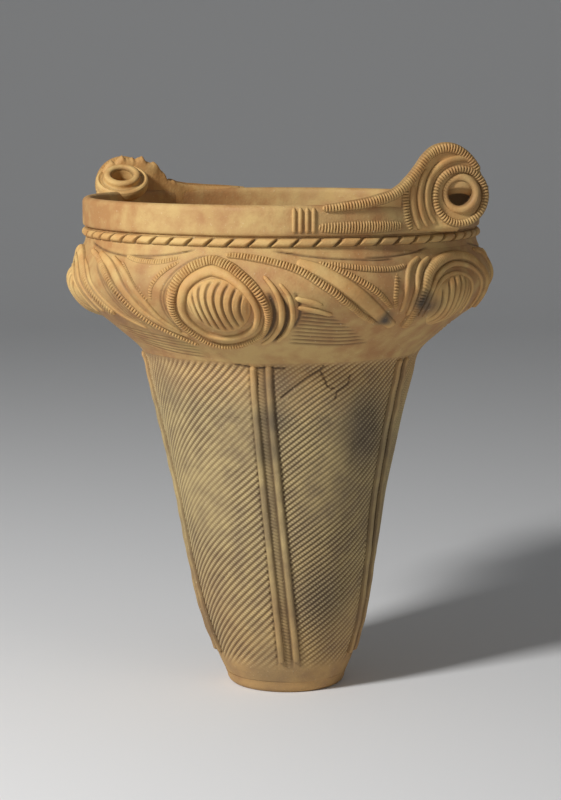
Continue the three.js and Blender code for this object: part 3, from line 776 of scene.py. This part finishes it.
def step_across(surface, u, v, way_u, way_v):
    """How u and v change over one millimetre square to a line that runs on by way_u, way_v."""
    small, zero = 0.01, np.zeros(len(u))
    along_u = (surface(u + small, v, zero) - surface(u - small, v, zero)) / (2 * small)
    along_v = (surface(u, v + small, zero) - surface(u, v - small, zero)) / (2 * small)
    tangent = along_u * way_u[:, None] + along_v * way_v[:, None]
    tangent /= np.linalg.norm(tangent, axis=1)[:, None] + 1e-12
    normal = np.cross(along_u, along_v)
    normal /= np.linalg.norm(normal, axis=1)[:, None]
    side = np.cross(normal, tangent)
    uu, uv, vv = (along_u ** 2).sum(1), (along_u * along_v).sum(1), (along_v ** 2).sum(1)
    area = uu * vv - uv * uv
    su, sv = (side * along_u).sum(1), (side * along_v).sum(1)
    return (su * vv - sv * uv) / area, (sv * uu - su * uv) / area


def lay_strip(name, surface, line, width, rise, nodes, slot="trim", closed=False, notch=0.0,
              pitch=3.0, slant=0.0, step=0.75, even=False, turn=0, sharp=0.0, worn=0.0,
              taper=(1.0, 1.0)):
    """A strip over a line; notch is the depth of its cuts, pitch apart and turned by slant."""
    path = soft_line(line, closed, turn)
    run = run_along(surface(path[:, 0], path[:, 1], np.zeros(len(path))))
    length = run[-1]
    cells = max(12, int(length / step))
    count = max(1, round(length / pitch))
    last = len(STRIP_SIDES) - 1

    def on_path(at):
        return np.interp(at, run, path[:, 0]), np.interp(at, run, path[:, 1])

    def place(u, v):
        ring = np.rint(v * last).astype(int)
        x = STRIP_SIDES[ring]
        below = (ring >= len(TOP_SIDES)) & (ring < last)
        at = u * length
        pu, pv = on_path(at)
        ahead_u, ahead_v = on_path((at + 0.5) % length if closed else np.clip(at + 0.5, 0, length))
        back_u, back_v = on_path((at - 0.5) % length if closed else np.clip(at - 0.5, 0, length))
        du, dv = step_across(surface, pu, pv, ahead_u - back_u, ahead_v - back_v)
        swell, tip = 1.0, np.ones(len(u))
        if not closed:
            tip = np.clip(np.minimum(at, length - at) / POINTED, 0, 1) ** 0.5
            if not even:
                swell = np.sqrt(np.clip(np.sin(math.pi * u), 0, 1)) * 0.45 + 0.55
        half = width / 2 * swell * tip * np.interp(u, np.linspace(0, 1, len(taper)), taper)
        crown = np.clip(1 - np.abs(x) ** 2.6, 0, 1) ** 0.75
        wave = np.cos(2 * math.pi * (at / length * count + slant * x))
        cut = np.clip((wave - sharp) / (1 - sharp), 0, 1) ** 0.8 * notch
        cut = cut * np.clip(1.15 - np.abs(x) ** 3, 0, 1)
        lift = (rise * swell - cut) * crown * tip - SUNK
        lift = lift + worn * ripple(surface(pu, pv, np.zeros(len(u))), 16, 3) * crown
        lift = np.where(below, UNDERSIDE, lift)
        off = x * half * FLARE
        points = surface(pu + du * off, pv + dv * off, lift)
        # Painted shade in the notches and along the strip's edges, where it meets the wall.
        hollow = np.clip(cut / max(rise, 0.1) * 0.9 + (np.abs(x) > 0.8) * 0.45, 0, 1)
        return points, hollow

    return clay_sheet(name, cells, last, place, nodes, slot)


print("points across a strip:", len(STRIP_SIDES) - 1)

# %% [markdown]
# The rope round the neck is a strip that was pinched at an even pitch with a slanting tool. It
# is laid as any strip, closed right round the jar, with few but deep and sharp notches.

# %% Rope
ROPE_HEIGHT, ROPE_PINCH = 470.6, 20.3
lay_strip("rope", on_skin, [(a, ROPE_HEIGHT) for a in range(0, 360, 15)], 8.2, 5.2, ["neck_rope"],
          closed=True, notch=4.6, pitch=ROPE_PINCH, slant=-0.26, step=0.8, turn=360, sharp=0.72)

# %% [markdown]
# Each whorl has a domed boss, a notched ring or an open arc round it, a notched fillet that
# sweeps off to the right and a leaf-shaped fillet above that. The front whorl was followed point
# by point in the photo, as degrees from its middle and heights above the ground, and the other
# closed one repeats it. The open kind follows the whorl at the right-hand edge of the picture.

# %% Lines of the whorls
CLOSED_RING = [(-2.6, 454), (-5.9, 450.5), (-9, 444), (-11.3, 435), (-12.8, 424), (-13.8, 414),
               (-14.3, 403.5), (-13.8, 393), (-12.7, 386), (-11, 379), (-8.8, 373), (-5.8, 370),
               (-2.6, 369), (1, 370), (4.7, 373), (8.2, 378), (10.8, 385), (12.1, 394),
               (12.5, 403), (12, 413), (10.8, 422), (8.6, 432.5), (5.4, 442), (2.6, 448.5), (0, 452)]
# Both rings are wider at the top, where they begin and end
RING_WIDTHS = (1.3, 1.35, 1.25, 1.1, 0.95, 0.85, 0.8, 0.8, 0.85, 0.9, 1.05, 1.2, 1.3)
INNER_WIDTHS = (1.3, 1.3, 1.1, 0.95, 0.85, 0.8, 0.75, 0.75, 0.75, 0.8, 0.9, 1.1, 1.3)
OPEN_ARC = [(-13.5, 386), (-13.8, 405), (-13.3, 424), (-10.6, 440), (-5, 450), (2, 453), (9, 450),
            (15, 441), (20, 427), (24, 411), (29, 396)]
CLOSED_SWEEP = [(1, 459), (4.8, 458.5), (8.1, 457), (11.5, 455), (14.5, 452.5), (17.6, 449.5),
                (20.6, 445.5), (23.3, 440), (26.1, 433), (29.1, 426), (32.2, 417), (35.4, 409),
                (38.6, 401), (44.1, 392)]
OPEN_SWEEP = [(17, 456), (24, 450), (30, 438), (35, 423), (39, 406), (43, 391), (48, 380),
              (55, 368)]
CLOSED_LEAF = [(26, 453), (29.5, 448), (32.4, 443), (35.5, 437), (38.3, 431), (41.1, 424),
               (43.8, 416), (47, 406)]
OPEN_LEAF = [(31, 453), (37, 443), (42, 428), (45.5, 412), (48, 396), (52, 382)]
print("points of the closed ring:", len(CLOSED_RING))

# %% [markdown]
# Between those lie smaller strips: crescents that hug the ring, blades of clay at the head of
# the combed strokes, the broad blade under the sweep, and notched strips in the corners.

# %% More strips
# Width, rise, notch depth and line from the whorl's middle
CLOSED_MORE = {
    "crescent_1": (6, 3.6, 0, [(11.5, 441), (14, 430), (15.6, 418), (16.2, 404), (15.3, 389),
                               (12.6, 377), (9.5, 371)]),
    "crescent_2": (5.5, 3.4, 0, [(15.5, 434), (17.8, 423), (19, 409), (19, 397), (17.4, 383),
                                 (14.5, 374)]),
    "comb_blade_1": (6.5, 3.0, 0, [(19.5, 420), (21.5, 418), (24.5, 415), (27, 411)]),
    "comb_blade_2": (6, 2.6, 0, [(20, 410.5), (23, 409), (26.5, 406), (30, 402)]),
    "leaf_blade": (15, 3.2, 0, [(20, 453.5), (26, 445.5), (31, 434.5), (36, 421.5), (41, 408),
                                (46, 396), (51, 387)]),
    "crescent_strip": (6.5, 2.8, 1.5, [(28.3, 452.2), (32.8, 449.2), (39.9, 445.8), (46.3, 445),
                                       (51.2, 448.3)]),
    "upright_strip": (6, 2.6, 1.5, [(47.5, 441.2), (46.8, 431.1), (46.9, 417.8), (48.4, 405.5)]),
    "side_arc_1": (6, 3.2, 0, [(56.5, 454.9), (52.6, 448.1), (50.6, 437.7), (50, 426.8),
                               (50, 416.9), (50.4, 402)]),
    "side_arc_2": (6, 3.4, 0, [(60.3, 454.2), (56.2, 447.5), (53.9, 437.1), (53.2, 426.2),
                               (53, 416.4), (53.4, 398)]),
    "corner_top": (6, 2.2, 1.3, [(-31, 454.5), (-25, 451), (-18, 451), (-12, 456)]),
    "corner_left": (5.5, 2.2, 1.3, [(-32, 449), (-29, 440), (-25.5, 428), (-21, 412)]),
    "corner_right": (5.5, 2.2, 1.3, [(-12, 452), (-16, 443), (-19, 430), (-20.5, 413)]),
}
OPEN_MORE = {
    "second_arc": (6, 3.6, 0, [(-10.6, 396), (-10.8, 409), (-10.4, 422), (-8.4, 434.3),
                               (-4.6, 441.7), (0, 445.2), (5, 443.7), (10.1, 438.2),
                               (14.3, 428), (17.5, 412), (21, 395)]),
    "eye_edge": (5, 3.0, 0, [(-8.4, 394), (-8.8, 405.7), (-9, 417.8), (-7.8, 428), (-4.2, 434.8),
                             (0.5, 436.4), (5.6, 432.3), (9, 421), (11, 406), (13.5, 392)]),
    "leaf_blade": (10, 3.0, 0, [(23, 455), (30, 447), (35.5, 434), (39.5, 418), (43, 401),
                                (48, 387), (54, 377)]),
    "wave_1": (6, 2.6, 0, [(13, 448), (19, 439), (23.5, 425), (27.5, 409), (32, 394), (38, 382)]),
}


def more_strips(number, centre, strips):
    for name, (width, rise, notch, line) in strips.items():
        lay_strip(f"{name}_{number}", on_skin, beside(centre, line), width, rise, [], notch=notch,
                  pitch=2.8)


print("smaller strips of a whorl:", len(CLOSED_MORE), "or", len(OPEN_MORE))

# %% [markdown]
# The boss of a whorl is a low dome with wavy grooves drawn down it. A round grid is carried onto
# the skin: its rim is sunk into the wall, and the last fifth of its rows turn back underneath to
# close it.

# %% Dome of a whorl
DOME_REACH, DOME_HALF_HEIGHT, DOME_RISE = 9.0, 27.5, 8.5
DEGREE, GROOVE_PITCH, GROOVE_DEPTH = 3.6, 7.8, 2.4
TOP_SHARE = 0.8


def dome(number, centre):
    def place(u, v):
        turn = 2 * math.pi * u
        out = np.where(v <= TOP_SHARE, v / TOP_SHARE, (1 - v) / (1 - TOP_SHARE))
        au, av = out * np.cos(turn), out * np.sin(turn)
        bend = 0.5 * np.sin(av * 2.7 + 0.6 + 1.2 * au) - 0.45 * av
        line = au * DOME_REACH * DEGREE / GROOVE_PITCH - 0.2 + bend
        groove = np.clip(np.cos(2 * math.pi * line), 0, 1) ** 1.4
        groove *= np.clip((0.92 - out) / 0.15, 0, 1)
        lift = DOME_RISE * (1 - out ** 2.6) - 1.0 - GROOVE_DEPTH * groove
        lift = np.where(v > TOP_SHARE, UNDERSIDE, lift)
        points = on_skin(centre + au * DOME_REACH, WHORL_HEIGHT + av * DOME_HALF_HEIGHT, lift)
        # Painted shade in the grooves and round the dome's foot.
        return points, np.where(v > TOP_SHARE, 0, 0.75 * groove + (out > 0.95) * 0.4)

    clay_sheet(f"dome_{number}", 200, 70, place, [f"whorl_dome_{number}"], "trim")


print("grooves on a dome:", round(2 * DOME_REACH * DEGREE / GROOVE_PITCH))

# %% [markdown]
# The whorls are now laid in turn, each with its dome, ring, sweep, leaf and smaller strips. A
# closed whorl has a second, smooth ring inside the notched one.

# %% Whorls
INNER_SHARE = 0.78


def inset(line, centre, share):
    """The same line drawn in towards the whorl's middle."""
    return [(centre + (a - centre) * share, WHORL_HEIGHT + (h - WHORL_HEIGHT) * share)
            for a, h in line]


def closed_rings(number, centre):
    ring = beside(centre, CLOSED_RING)
    lay_strip(f"ring_{number}", on_skin, ring, 8.2, 4.8, [f"whorl_ring_{number}"], closed=True,
              notch=2.5, pitch=2.9, taper=RING_WIDTHS)
    lay_strip(f"inner_ring_{number}", on_skin, inset(ring, centre, INNER_SHARE), 8.4, 4.4, [],
              closed=True, taper=INNER_WIDTHS)


def open_ring(number, centre):
    lay_strip(f"ring_{number}", on_skin, beside(centre, OPEN_ARC), 11, 4.8,
              [f"whorl_ring_{number}"], notch=1.3, pitch=2.9, even=True)


for number, (centre, closed) in enumerate(WHORLS, 1):
    dome(number, centre - 0.5 * closed)
    if closed:
        closed_rings(number, centre)
    else:
        open_ring(number, centre)
    lay_strip(f"sweep_{number}", on_skin, beside(centre, CLOSED_SWEEP if closed else OPEN_SWEEP),
              8.0, 4.7, [f"sweep_fillet_{number}"], notch=2.2, pitch=2.9)
    lay_strip(f"leaf_{number}", on_skin, beside(centre, CLOSED_LEAF if closed else OPEN_LEAF),
              7.0, 3.8, [f"leaf_fillet_{number}"], notch=1.9 * closed, pitch=2.8)
    more_strips(number, centre, CLOSED_MORE if closed else OPEN_MORE)

# %% [markdown]
# Pairs of thin smooth bands run down the body, with the pitted strip and the channel of the wall
# between them. They drift round the jar a little on their way down, so each is a strip along a
# line of its own and not a straight bar.

# %% Bands
BAND_RADIUS, BAND_WIDTH, BAND_RISE = 136, 6.6, 3.6
for i, angle in enumerate(BAND_ANGLES, 1):
    for name, hand in (("left", -1), ("right", 1)):
        spread = [(h, hand * BAND_SPREAD * BAND_RADIUS / float(skin_radius(h)) / 2)
                  for h in np.linspace(BAND_TOP + 8, BAND_FOOT, 12)]
        line = [(float(band_middle(angle, h)) + s, h) for h, s in spread]
        lay_strip(f"band_{name}_{i}", on_skin, line, BAND_WIDTH, BAND_RISE, [f"band_{name}_{i}"],
                  slot="body", even=True, worn=0.5)

# %% [markdown]
# Each handle is a wing of clay that swings out from the collar and faces forward, with an eyelet
# bored through it. The two are the same piece, turned half round the mouth's middle, so all of a
# handle's places are given from there and then carried to its side.

# %% Place of the handles
RING_TURN, RING_REACH, RING_HEIGHT = -5.8, 220.3, 511.5
FACE_TURN, WING_THICK, WING_FIRST, WING_SLAB = -38.7, 11, -52, -19
OUTER_RING, EYELET, BORE, EYELET_TURN = 29.8, 19.3, 12, -53
SIDES = {False: (1, 1, 1), True: (-1, -1, 1)}
mouth = np.array([*centre_at(RIM_HEIGHT), 0.0])


def from_mouth(degrees, radius, height):
    turn = math.radians(degrees)
    return np.array([radius * math.cos(turn), radius * math.sin(turn), height])


ring_centre = from_mouth(RING_TURN, RING_REACH, RING_HEIGHT)
face = from_mouth(FACE_TURN, 1, 0)
face_right = np.array([-face[1], face[0], 0])
plan = [from_mouth(a, COLLAR_RADIUS + 0.6, 0)[:2] for a in np.arange(WING_FIRST, WING_SLAB + 0.1, 5.5)]
plan.append(from_mouth(WING_SLAB + 4, COLLAR_RADIUS + 2.6, 0)[:2])
plan += [(ring_centre + face_right * a)[:2] for a in (-30, -10, 10, 30)]
plan_line = soft_line(plan)
plan_run = run_along(plan_line)
RING_ALONG = plan_run[-1] - 30
print("wing from end to end:", round(float(plan_run[-1]), 1), "mm")

# %% [markdown]
# A wing stands along that plan line like a bent fence, and the bars and the low band lie on the
# collar beside it. Each gets a surface function like the skin's, so that the same strips can be
# laid on them.

# %% Surfaces of a handle


def on_plan(at):
    return np.interp(at, plan_run, plan_line[:, 0]), np.interp(at, plan_run, plan_line[:, 1])


def wing_surface(turned):
    """Places on a wing: u along it with 0 at the ring's middle, v the height."""
    def surface(u, v, lift):
        at = np.clip(u + RING_ALONG, 0, plan_run[-1])
        over = u + RING_ALONG - at
        x, y = on_plan(at)
        back_x, back_y = on_plan(np.clip(at - 1, 0, None))
        ahead_x, ahead_y = on_plan(np.clip(at + 1, None, plan_run[-1]))
        wx, wy = ahead_x - back_x, ahead_y - back_y
        size = np.hypot(wx, wy)
        wx, wy = wx / size, wy / size
        px, py = x + wx * over + wy * lift, y + wy * over - wx * lift
        points = np.stack([px, py, np.broadcast_to(v, np.shape(px)).astype(float)], -1)
        return points * SIDES[turned] + mouth

    return surface


def collar_surface(turned):
    def surface(degrees, height, lift):
        turn = np.radians(degrees + (180 if turned else 0))
        radius = COLLAR_RADIUS + lift
        return np.stack([radius * np.cos(turn) + mouth[0], radius * np.sin(turn) + mouth[1],
                         np.broadcast_to(height, np.shape(turn)).astype(float)], -1)

    return surface


zero = np.zeros(1)
print("middle of the whole handle:", wing_surface(False)(zero, zero + RING_HEIGHT, zero).round(1))

# %% [markdown]
# The whole wing rises in one curve from the rim to its crest. The other one was broken off long
# ago, and its edge is a low line with a jagged fracture along it, made of three waves.

# %% Crest and break
WING_START = -140.1
CREST = np.array([(WING_START, 507.5), (-107.3, 511), (-80.5, 517), (-64.1, 524), (-49.2, 538),
                  (-34.3, 555), (-19.4, 563), (-4.5, 561), (10.4, 551), (20.9, 538), (28.3, 522)])
BREAK = np.array([(-140, 507), (-100, 508.5), (-75, 511), (-58, 515), (-48, 520), (-40, 529),
                  (-31, 537), (-20, 541), (0, 542), (15, 538), (22, 531), (28, 520)])


def crest_at(u, chipped):
    top = np.interp(u, CREST[:, 0], CREST[:, 1])
    if chipped:
        jag = 1.2 * np.sin(u * 0.53) + 1.1 * np.sin(u * 0.31 + 1) + 0.5 * np.sin(u * 1.1)
        broken = np.interp(u, BREAK[:, 0], BREAK[:, 1])
        top = np.minimum(top, broken + jag * np.clip((broken - 512) / 10, 0, 1))
    return top


print("crest:", float(crest_at(-19.4, False)), "mm, broken:", round(float(crest_at(-19.4, True))))

# %% [markdown]
# A wing is one sheet that goes up its front and down its back. It thins to nothing where it
# leaves the collar, and its lower edge follows the round of the ring at the other end.

# %% Wing
FRONT_ROWS, BACK_ROWS, THIN = 41, 14, 8.4
WING_SHARES = np.concatenate([np.linspace(0, 1, FRONT_ROWS), 2 - np.linspace(1, 2, BACK_ROWS + 1)[1:]])
LOW_EDGE = 483.5


def wing(name, turned, nodes):
    surface = wing_surface(turned)
    end = OUTER_RING - 0.5
    last = len(WING_SHARES) - 1

    def place(u, v):
        row = np.rint(v * last).astype(int)
        along = WING_START + (end - WING_START) * u
        ramp = np.clip((along + 96) / 34, 0, 1)
        low = RIM_HEIGHT - 6 - (RIM_HEIGHT - LOW_EDGE) * ramp * ramp * (3 - 2 * ramp)
        round_ring = RING_HEIGHT - np.sqrt(np.clip(OUTER_RING ** 2 - along ** 2, 0, None))
        low = np.where(along > 0, round_ring, low)
        high = np.maximum(crest_at(along, turned), low + 0.5)
        up = WING_SHARES[row]
        height = low + (high - low) * up
        ends = np.clip(np.minimum((along - WING_START) / 14, (end - along) / 3), 0, 1) ** 0.5
        thick = (THIN + (WING_THICK - THIN) * ramp) * ends
        edge = np.clip(np.minimum(up, 1 - up) * (high - low) / 4, 0, 1) ** 0.5
        sunk = 1.5 * (1 - np.clip((along + 80) / 32, 0, 1)) * np.clip((508 - height) / 4, 0, 1)
        middle = -thick / 2 - sunk
        lift = np.where(row >= FRONT_ROWS, middle - thick / 2 * edge, middle + thick / 2 * edge)
        shift = -1.2 * (up > 0.97)
        return surface(along, height + shift, lift), np.zeros(len(u))

    return clay_sheet(name, 170, last, place, nodes, "trim")


print("rows over a wing:", len(WING_SHARES))

# %% [markdown]
# The eyelet is a thick bent tube. It starts at the front of the wing and turns up inside, so
# that its other mouth opens over the rim. The wing is first bored with a plain plug, which is
# the one place where a Boolean is simpler than bending the sheet round a hole.

# %% Eyelet
EYELET_RISE, TUBE_STEPS, TUBE_LENGTH = math.radians(58), 25, 38
PLUG_BEFORE, PLUG_BEHIND, TUBE_BEFORE = 14, 24, 3.5
eyelet_middle = ring_centre + np.array([0, 0, 2.5])
eyelet_way = -from_mouth(EYELET_TURN, 1, 0)


def bore_wing(body, turned):
    """Clears the way of the eyelet's tube through a wing."""
    start = (eyelet_middle - eyelet_way * PLUG_BEFORE) * SIDES[turned] + mouth
    end = (eyelet_middle + eyelet_way * PLUG_BEHIND) * SIDES[turned] + mouth
    way = eyelet_way * SIDES[turned]
    bpy.ops.object.select_all(action="DESELECT")
    bpy.ops.mesh.primitive_cylinder_add(vertices=64, radius=(EYELET - 1) * MM,
                                        depth=(PLUG_BEFORE + PLUG_BEHIND) * MM,
                                        location=tuple((start + end) / 2 * MM))
    plug = bpy.context.object
    plug.rotation_euler = (math.radians(90), 0, math.atan2(way[1], way[0]) + math.radians(90))
    bpy.ops.object.transform_apply(location=True, rotation=True, scale=True)
    cut = body.modifiers.new("bore", "BOOLEAN")
    cut.operation = "DIFFERENCE"
    cut.object = plug
    bpy.ops.object.select_all(action="DESELECT")
    body.select_set(True)
    bpy.context.view_layer.objects.active = body
    bpy.ops.object.modifier_apply(modifier="bore")
    bpy.data.objects.remove(plug)
    print(body.name, "bored,", len(body.data.polygons), "faces")


def eyelet(name, turned, nodes):
    """A bent tube: straight back from the wing's front, then up to open over the rim."""
    front = eyelet_middle - eyelet_way * TUBE_BEFORE
    bend = EYELET_RISE * np.clip((np.linspace(0, 1, TUBE_STEPS) - 0.45) / 0.45, 0, 1)
    ways = np.outer(np.cos(bend), eyelet_way) + np.outer(np.sin(bend), [0, 0, 1])
    steps = ways[:-1] * TUBE_LENGTH / (TUBE_STEPS - 1)
    line = front + np.concatenate([[np.zeros(3)], np.cumsum(steps, axis=0)])
    flat = np.cross(eyelet_way, [0, 0, 1])
    ups = np.cross(flat, ways)
    outer, bore = np.full(TUBE_STEPS, EYELET), np.full(TUBE_STEPS, BORE)
    for i, rounding, flare in ((0, 2.5, 2), (1, 0.6, 0), (-1, 2.5, 2)):
        outer[i] = EYELET - rounding
        bore[i] = BORE + flare
    there, back = range(TUBE_STEPS), range(TUBE_STEPS - 1, -1, -1)
    index = np.array([*there, *back, 0])
    radius = np.array([*outer, *bore[::-1], outer[0]])
    last = len(index) - 1

    def place(u, v):
        row = np.rint(v * last).astype(int)
        turn = 2 * math.pi * u
        i = index[row]
        points = (line[i] + flat * (radius[row] * np.cos(turn))[:, None]
                  + ups[i] * (radius[row] * np.sin(turn))[:, None])
        # Painted shade inside the bore.
        return points * SIDES[turned] + mouth, (radius[row] < BORE + 0.1) * 0.35

    return clay_sheet(name, 120, last, place, nodes, "trim")


print("eyelet heads inward along", eyelet_way.round(2))

# %% [markdown]
# From inside the jar the eyelet's upper mouth is seen to sit in a dished disc, like a saucer. It
# is a ring again, turned round the tube's slanting axis from an outline of rims and hollows.

# %% Saucer
SAUCER_OUTLINE = [(12.5, 1.5), (14, 3), (16.5, 3.2), (18.6, 1.6), (19.4, -1.5), (21, -2.6),
                  (23.4, -2.4), (25.6, -0.8), (27.4, -2), (28, -5), (27.4, -11), (24, -15),
                  (14, -16), (12.5, -10), (12.5, 1.5)]
SAUCER_ROWS, SAUCER_BACK, SAUCER_OUT = 57, 24, 7


def saucer(name, turned, nodes):
    """The dished disc round the eyelet's upper mouth, seen from inside the jar."""
    upright = np.array([0, 0, math.sin(EYELET_RISE)])
    normal = eyelet_way * math.cos(EYELET_RISE) + upright
    middle = eyelet_middle + eyelet_way * SAUCER_BACK + normal * SAUCER_OUT
    flat = np.cross(eyelet_way, [0, 0, 1])
    up = np.cross(flat, normal)
    at = np.linspace(0, len(SAUCER_OUTLINE) - 1, SAUCER_ROWS)
    fine = np.array([np.interp(at, range(len(SAUCER_OUTLINE)), column)
                     for column in zip(*SAUCER_OUTLINE)]).T

    def place(u, v):
        row = np.rint(v * (SAUCER_ROWS - 1)).astype(int)
        turn = 2 * math.pi * u
        r, z = fine[row].T
        points = middle + flat * (r * np.cos(turn))[:, None] + up * (r * np.sin(turn))[:, None]
        points = points + normal * z[:, None]
        # Painted shade in the saucer's dish.
        dished = np.clip((22 - np.abs(r - 21) * 9) / 22, 0, 1) * (z < 0)
        return points * SIDES[turned] + mouth, dished * 0.4

    return clay_sheet(name, 140, SAUCER_ROWS - 1, place, nodes, "trim")


print("saucer:", 2 * max(r for r, z in SAUCER_OUTLINE), "mm across")

# %% [markdown]
# Notched and smooth ridges curl round the eyelet like ripples round a stone: the outer ring, an
# arc ridge, two more arcs and an upright notched one. Each is a strip along an arc round the
# ring's middle. On the chipped handle they stop at the fracture.

# %% Ridges of a handle
REED = 2.9


def arc(radius, start, stop, parts):
    return [(radius * math.cos(math.radians(a)), RING_HEIGHT + radius * math.sin(math.radians(a)))
            for a in np.linspace(start, stop, parts, endpoint=stop - start != 360)]


def ridges(prefix, turned):
    surface = wing_surface(turned)
    lay_strip(f"{prefix}_ring_clay", surface, arc(OUTER_RING - 3.75, 0, 360, 12), 7.6, 4.6,
              [f"{prefix}_outer_ring"], closed=True, notch=2.0, pitch=REED)
    start, stop = -148, (-50 if turned else 20)
    crest = [(u, float(crest_at(u, turned)) - 4.6) for u in np.linspace(start, stop, 16)]
    lay_strip(f"{prefix}_crest_clay", surface, crest, 10.6, 4.8, [f"{prefix}_crest_ridge"],
              notch=2.0, pitch=REED)
    over, side, leaf, upright = (150, 165, 182, 185) if turned else (62, 143, 166, 164)
    lay_strip(f"{prefix}_arc_clay", surface, arc(36.2, 228, over, 12), 7.0, 4.0,
              [f"{prefix}_arc_ridge"])
    lay_strip(f"{prefix}_arc_side", surface, arc(44.4, 222, side, 10), 6.6, 3.6, [])
    lay_strip(f"{prefix}_arc_leaf", surface, arc(52.4, 217, leaf, 8), 7.4, 3.4, [])
    lay_strip(f"{prefix}_upright", surface, arc(61, 212, upright, 8), 9, 3.4, [], notch=1.9,
              pitch=REED)


print("points of an arc:", len(arc(36.2, 228, 62, 12)))

# %% [markdown]
# A low notched band and a panel of four upright bars lie on the collar where the wing leaves it.
# With them the handles are put together, the same way twice.

# %% Handles
LOW_BAND, BAR_PITCH, BARS_AT = [(a, 484.6) for a in np.linspace(-47.2, -22.0, 7)], 6.2, -51
BAR_HEIGHTS = (479, 487, 496, 504)


def collar_strips(prefix, turned):
    on_collar = collar_surface(turned)
    lay_strip(f"{prefix}_low_band_clay", on_collar, LOW_BAND, 12.5, 3.6, [f"{prefix}_low_band"],
              notch=2.0, pitch=REED, slant=-0.16)
    for k in range(4):
        turn = BARS_AT + (k - 1.5) * BAR_PITCH / math.radians(COLLAR_RADIUS)
        nodes = [f"{prefix}_bars"] if k == 0 else []
        lay_strip(f"{prefix}_bar_{k + 1}", on_collar, [(turn, h) for h in BAR_HEIGHTS], 4.4, 3.4,
                  nodes, even=True)


for prefix, turned in (("handle", False), ("chipped_handle", True)):
    bore_wing(wing(f"{prefix}_wing_clay", turned, [f"{prefix}_wing"]), turned)
    eyelet(f"{prefix}_eyelet_clay", turned, [f"{prefix}_eyelet"])
    saucer(f"{prefix}_saucer", turned, [f"{prefix}_inner_disc"])
    ridges(prefix, turned)
    collar_strips(prefix, turned)

# %% [markdown]
# The jar stands on pale paper that curves up behind it, so that no horizon cuts through the
# picture. It is modelled as by hand: a plane is turned to face the camera, its far edge is
# pulled up, and the fold is rounded with a bevel.

# %% Floor
FAR, WALL_RISE, FOLD = 6, 7, 3.5


def select_far_edges(highest):
    """Selects the floor's edges that lie beyond the jar and no higher than this."""
    for edge in floor.data.edges:
        ends = [np.array(floor.data.vertices[i].co) for i in edge.vertices]
        edge.select = all(end[:2] @ -TOWARD > FAR and end[2] < highest for end in ends)


bpy.ops.object.select_all(action="DESELECT")
bpy.ops.mesh.primitive_plane_add(size=14, location=(0, 0, 0))
floor = bpy.context.object
floor.name = "floor"
bpy.ops.object.mode_set(mode="EDIT")
bpy.ops.mesh.select_all(action="SELECT")
bpy.ops.transform.rotate(value=-VIEW_TURN, orient_axis="Z", center_override=(0, 0, 0))
bpy.ops.mesh.select_all(action="DESELECT")
bpy.ops.object.mode_set(mode="OBJECT")
select_far_edges(1)
bpy.ops.object.mode_set(mode="EDIT")
bpy.ops.mesh.select_mode(type="EDGE")
bpy.ops.mesh.extrude_region_move(TRANSFORM_OT_translate={"value": (0, 0, WALL_RISE)})
bpy.ops.object.mode_set(mode="OBJECT")
select_far_edges(1)
bpy.ops.object.mode_set(mode="EDIT")
bpy.ops.mesh.bevel(offset=FOLD, segments=24, affect="EDGES")
bpy.ops.object.mode_set(mode="OBJECT")
bpy.ops.object.shade_smooth()
paper = Recipe("paper")
paper.shader.inputs["Base Color"].default_value = (0.78, 0.78, 0.78, 1)
paper.shader.inputs["Roughness"].default_value = 0.95
floor.data.materials.append(paper.material)
print("floor:", len(floor.data.polygons), "faces")

# %% [markdown]
# A soft lamp at the front left lights the jar, a weak broad one at the right opens the shadows,
# and a dim pale world fills the rest. They stay plain, so that the clay's colours render about
# as they are written.

# %% Light
AIM_HEIGHT = 0.3


def lamp(name, right, toward, height, size, power):
    data = bpy.data.lights.new(name, "AREA")
    data.size = size
    data.energy = power
    light = bpy.data.objects.new(name, data)
    bpy.context.scene.collection.objects.link(light)
    spot = RIGHT * right + TOWARD * toward
    light.location = (spot[0], spot[1], height)
    aim = np.array([0, 0, AIM_HEIGHT]) - np.array(light.location)
    light.rotation_euler = (math.acos(aim[2] / -np.linalg.norm(aim)), 0,
                            math.atan2(aim[1], aim[0]) - math.pi / 2)
    print(name, "lamp:", power, "W")


lamp("key", -1.75, 1.7, 1.9, 0.45, 84)
lamp("fill", 2.2, 2.0, 1.0, 1.6, 6)
world = bpy.data.worlds.new("studio")
bpy.context.scene.world = world
world.use_nodes = True
world.node_tree.nodes["Background"].inputs[0].default_value = (0.86, 0.88, 0.9, 1)
world.node_tree.nodes["Background"].inputs[1].default_value = 0.17
bpy.context.scene.view_settings.view_transform = "Standard"
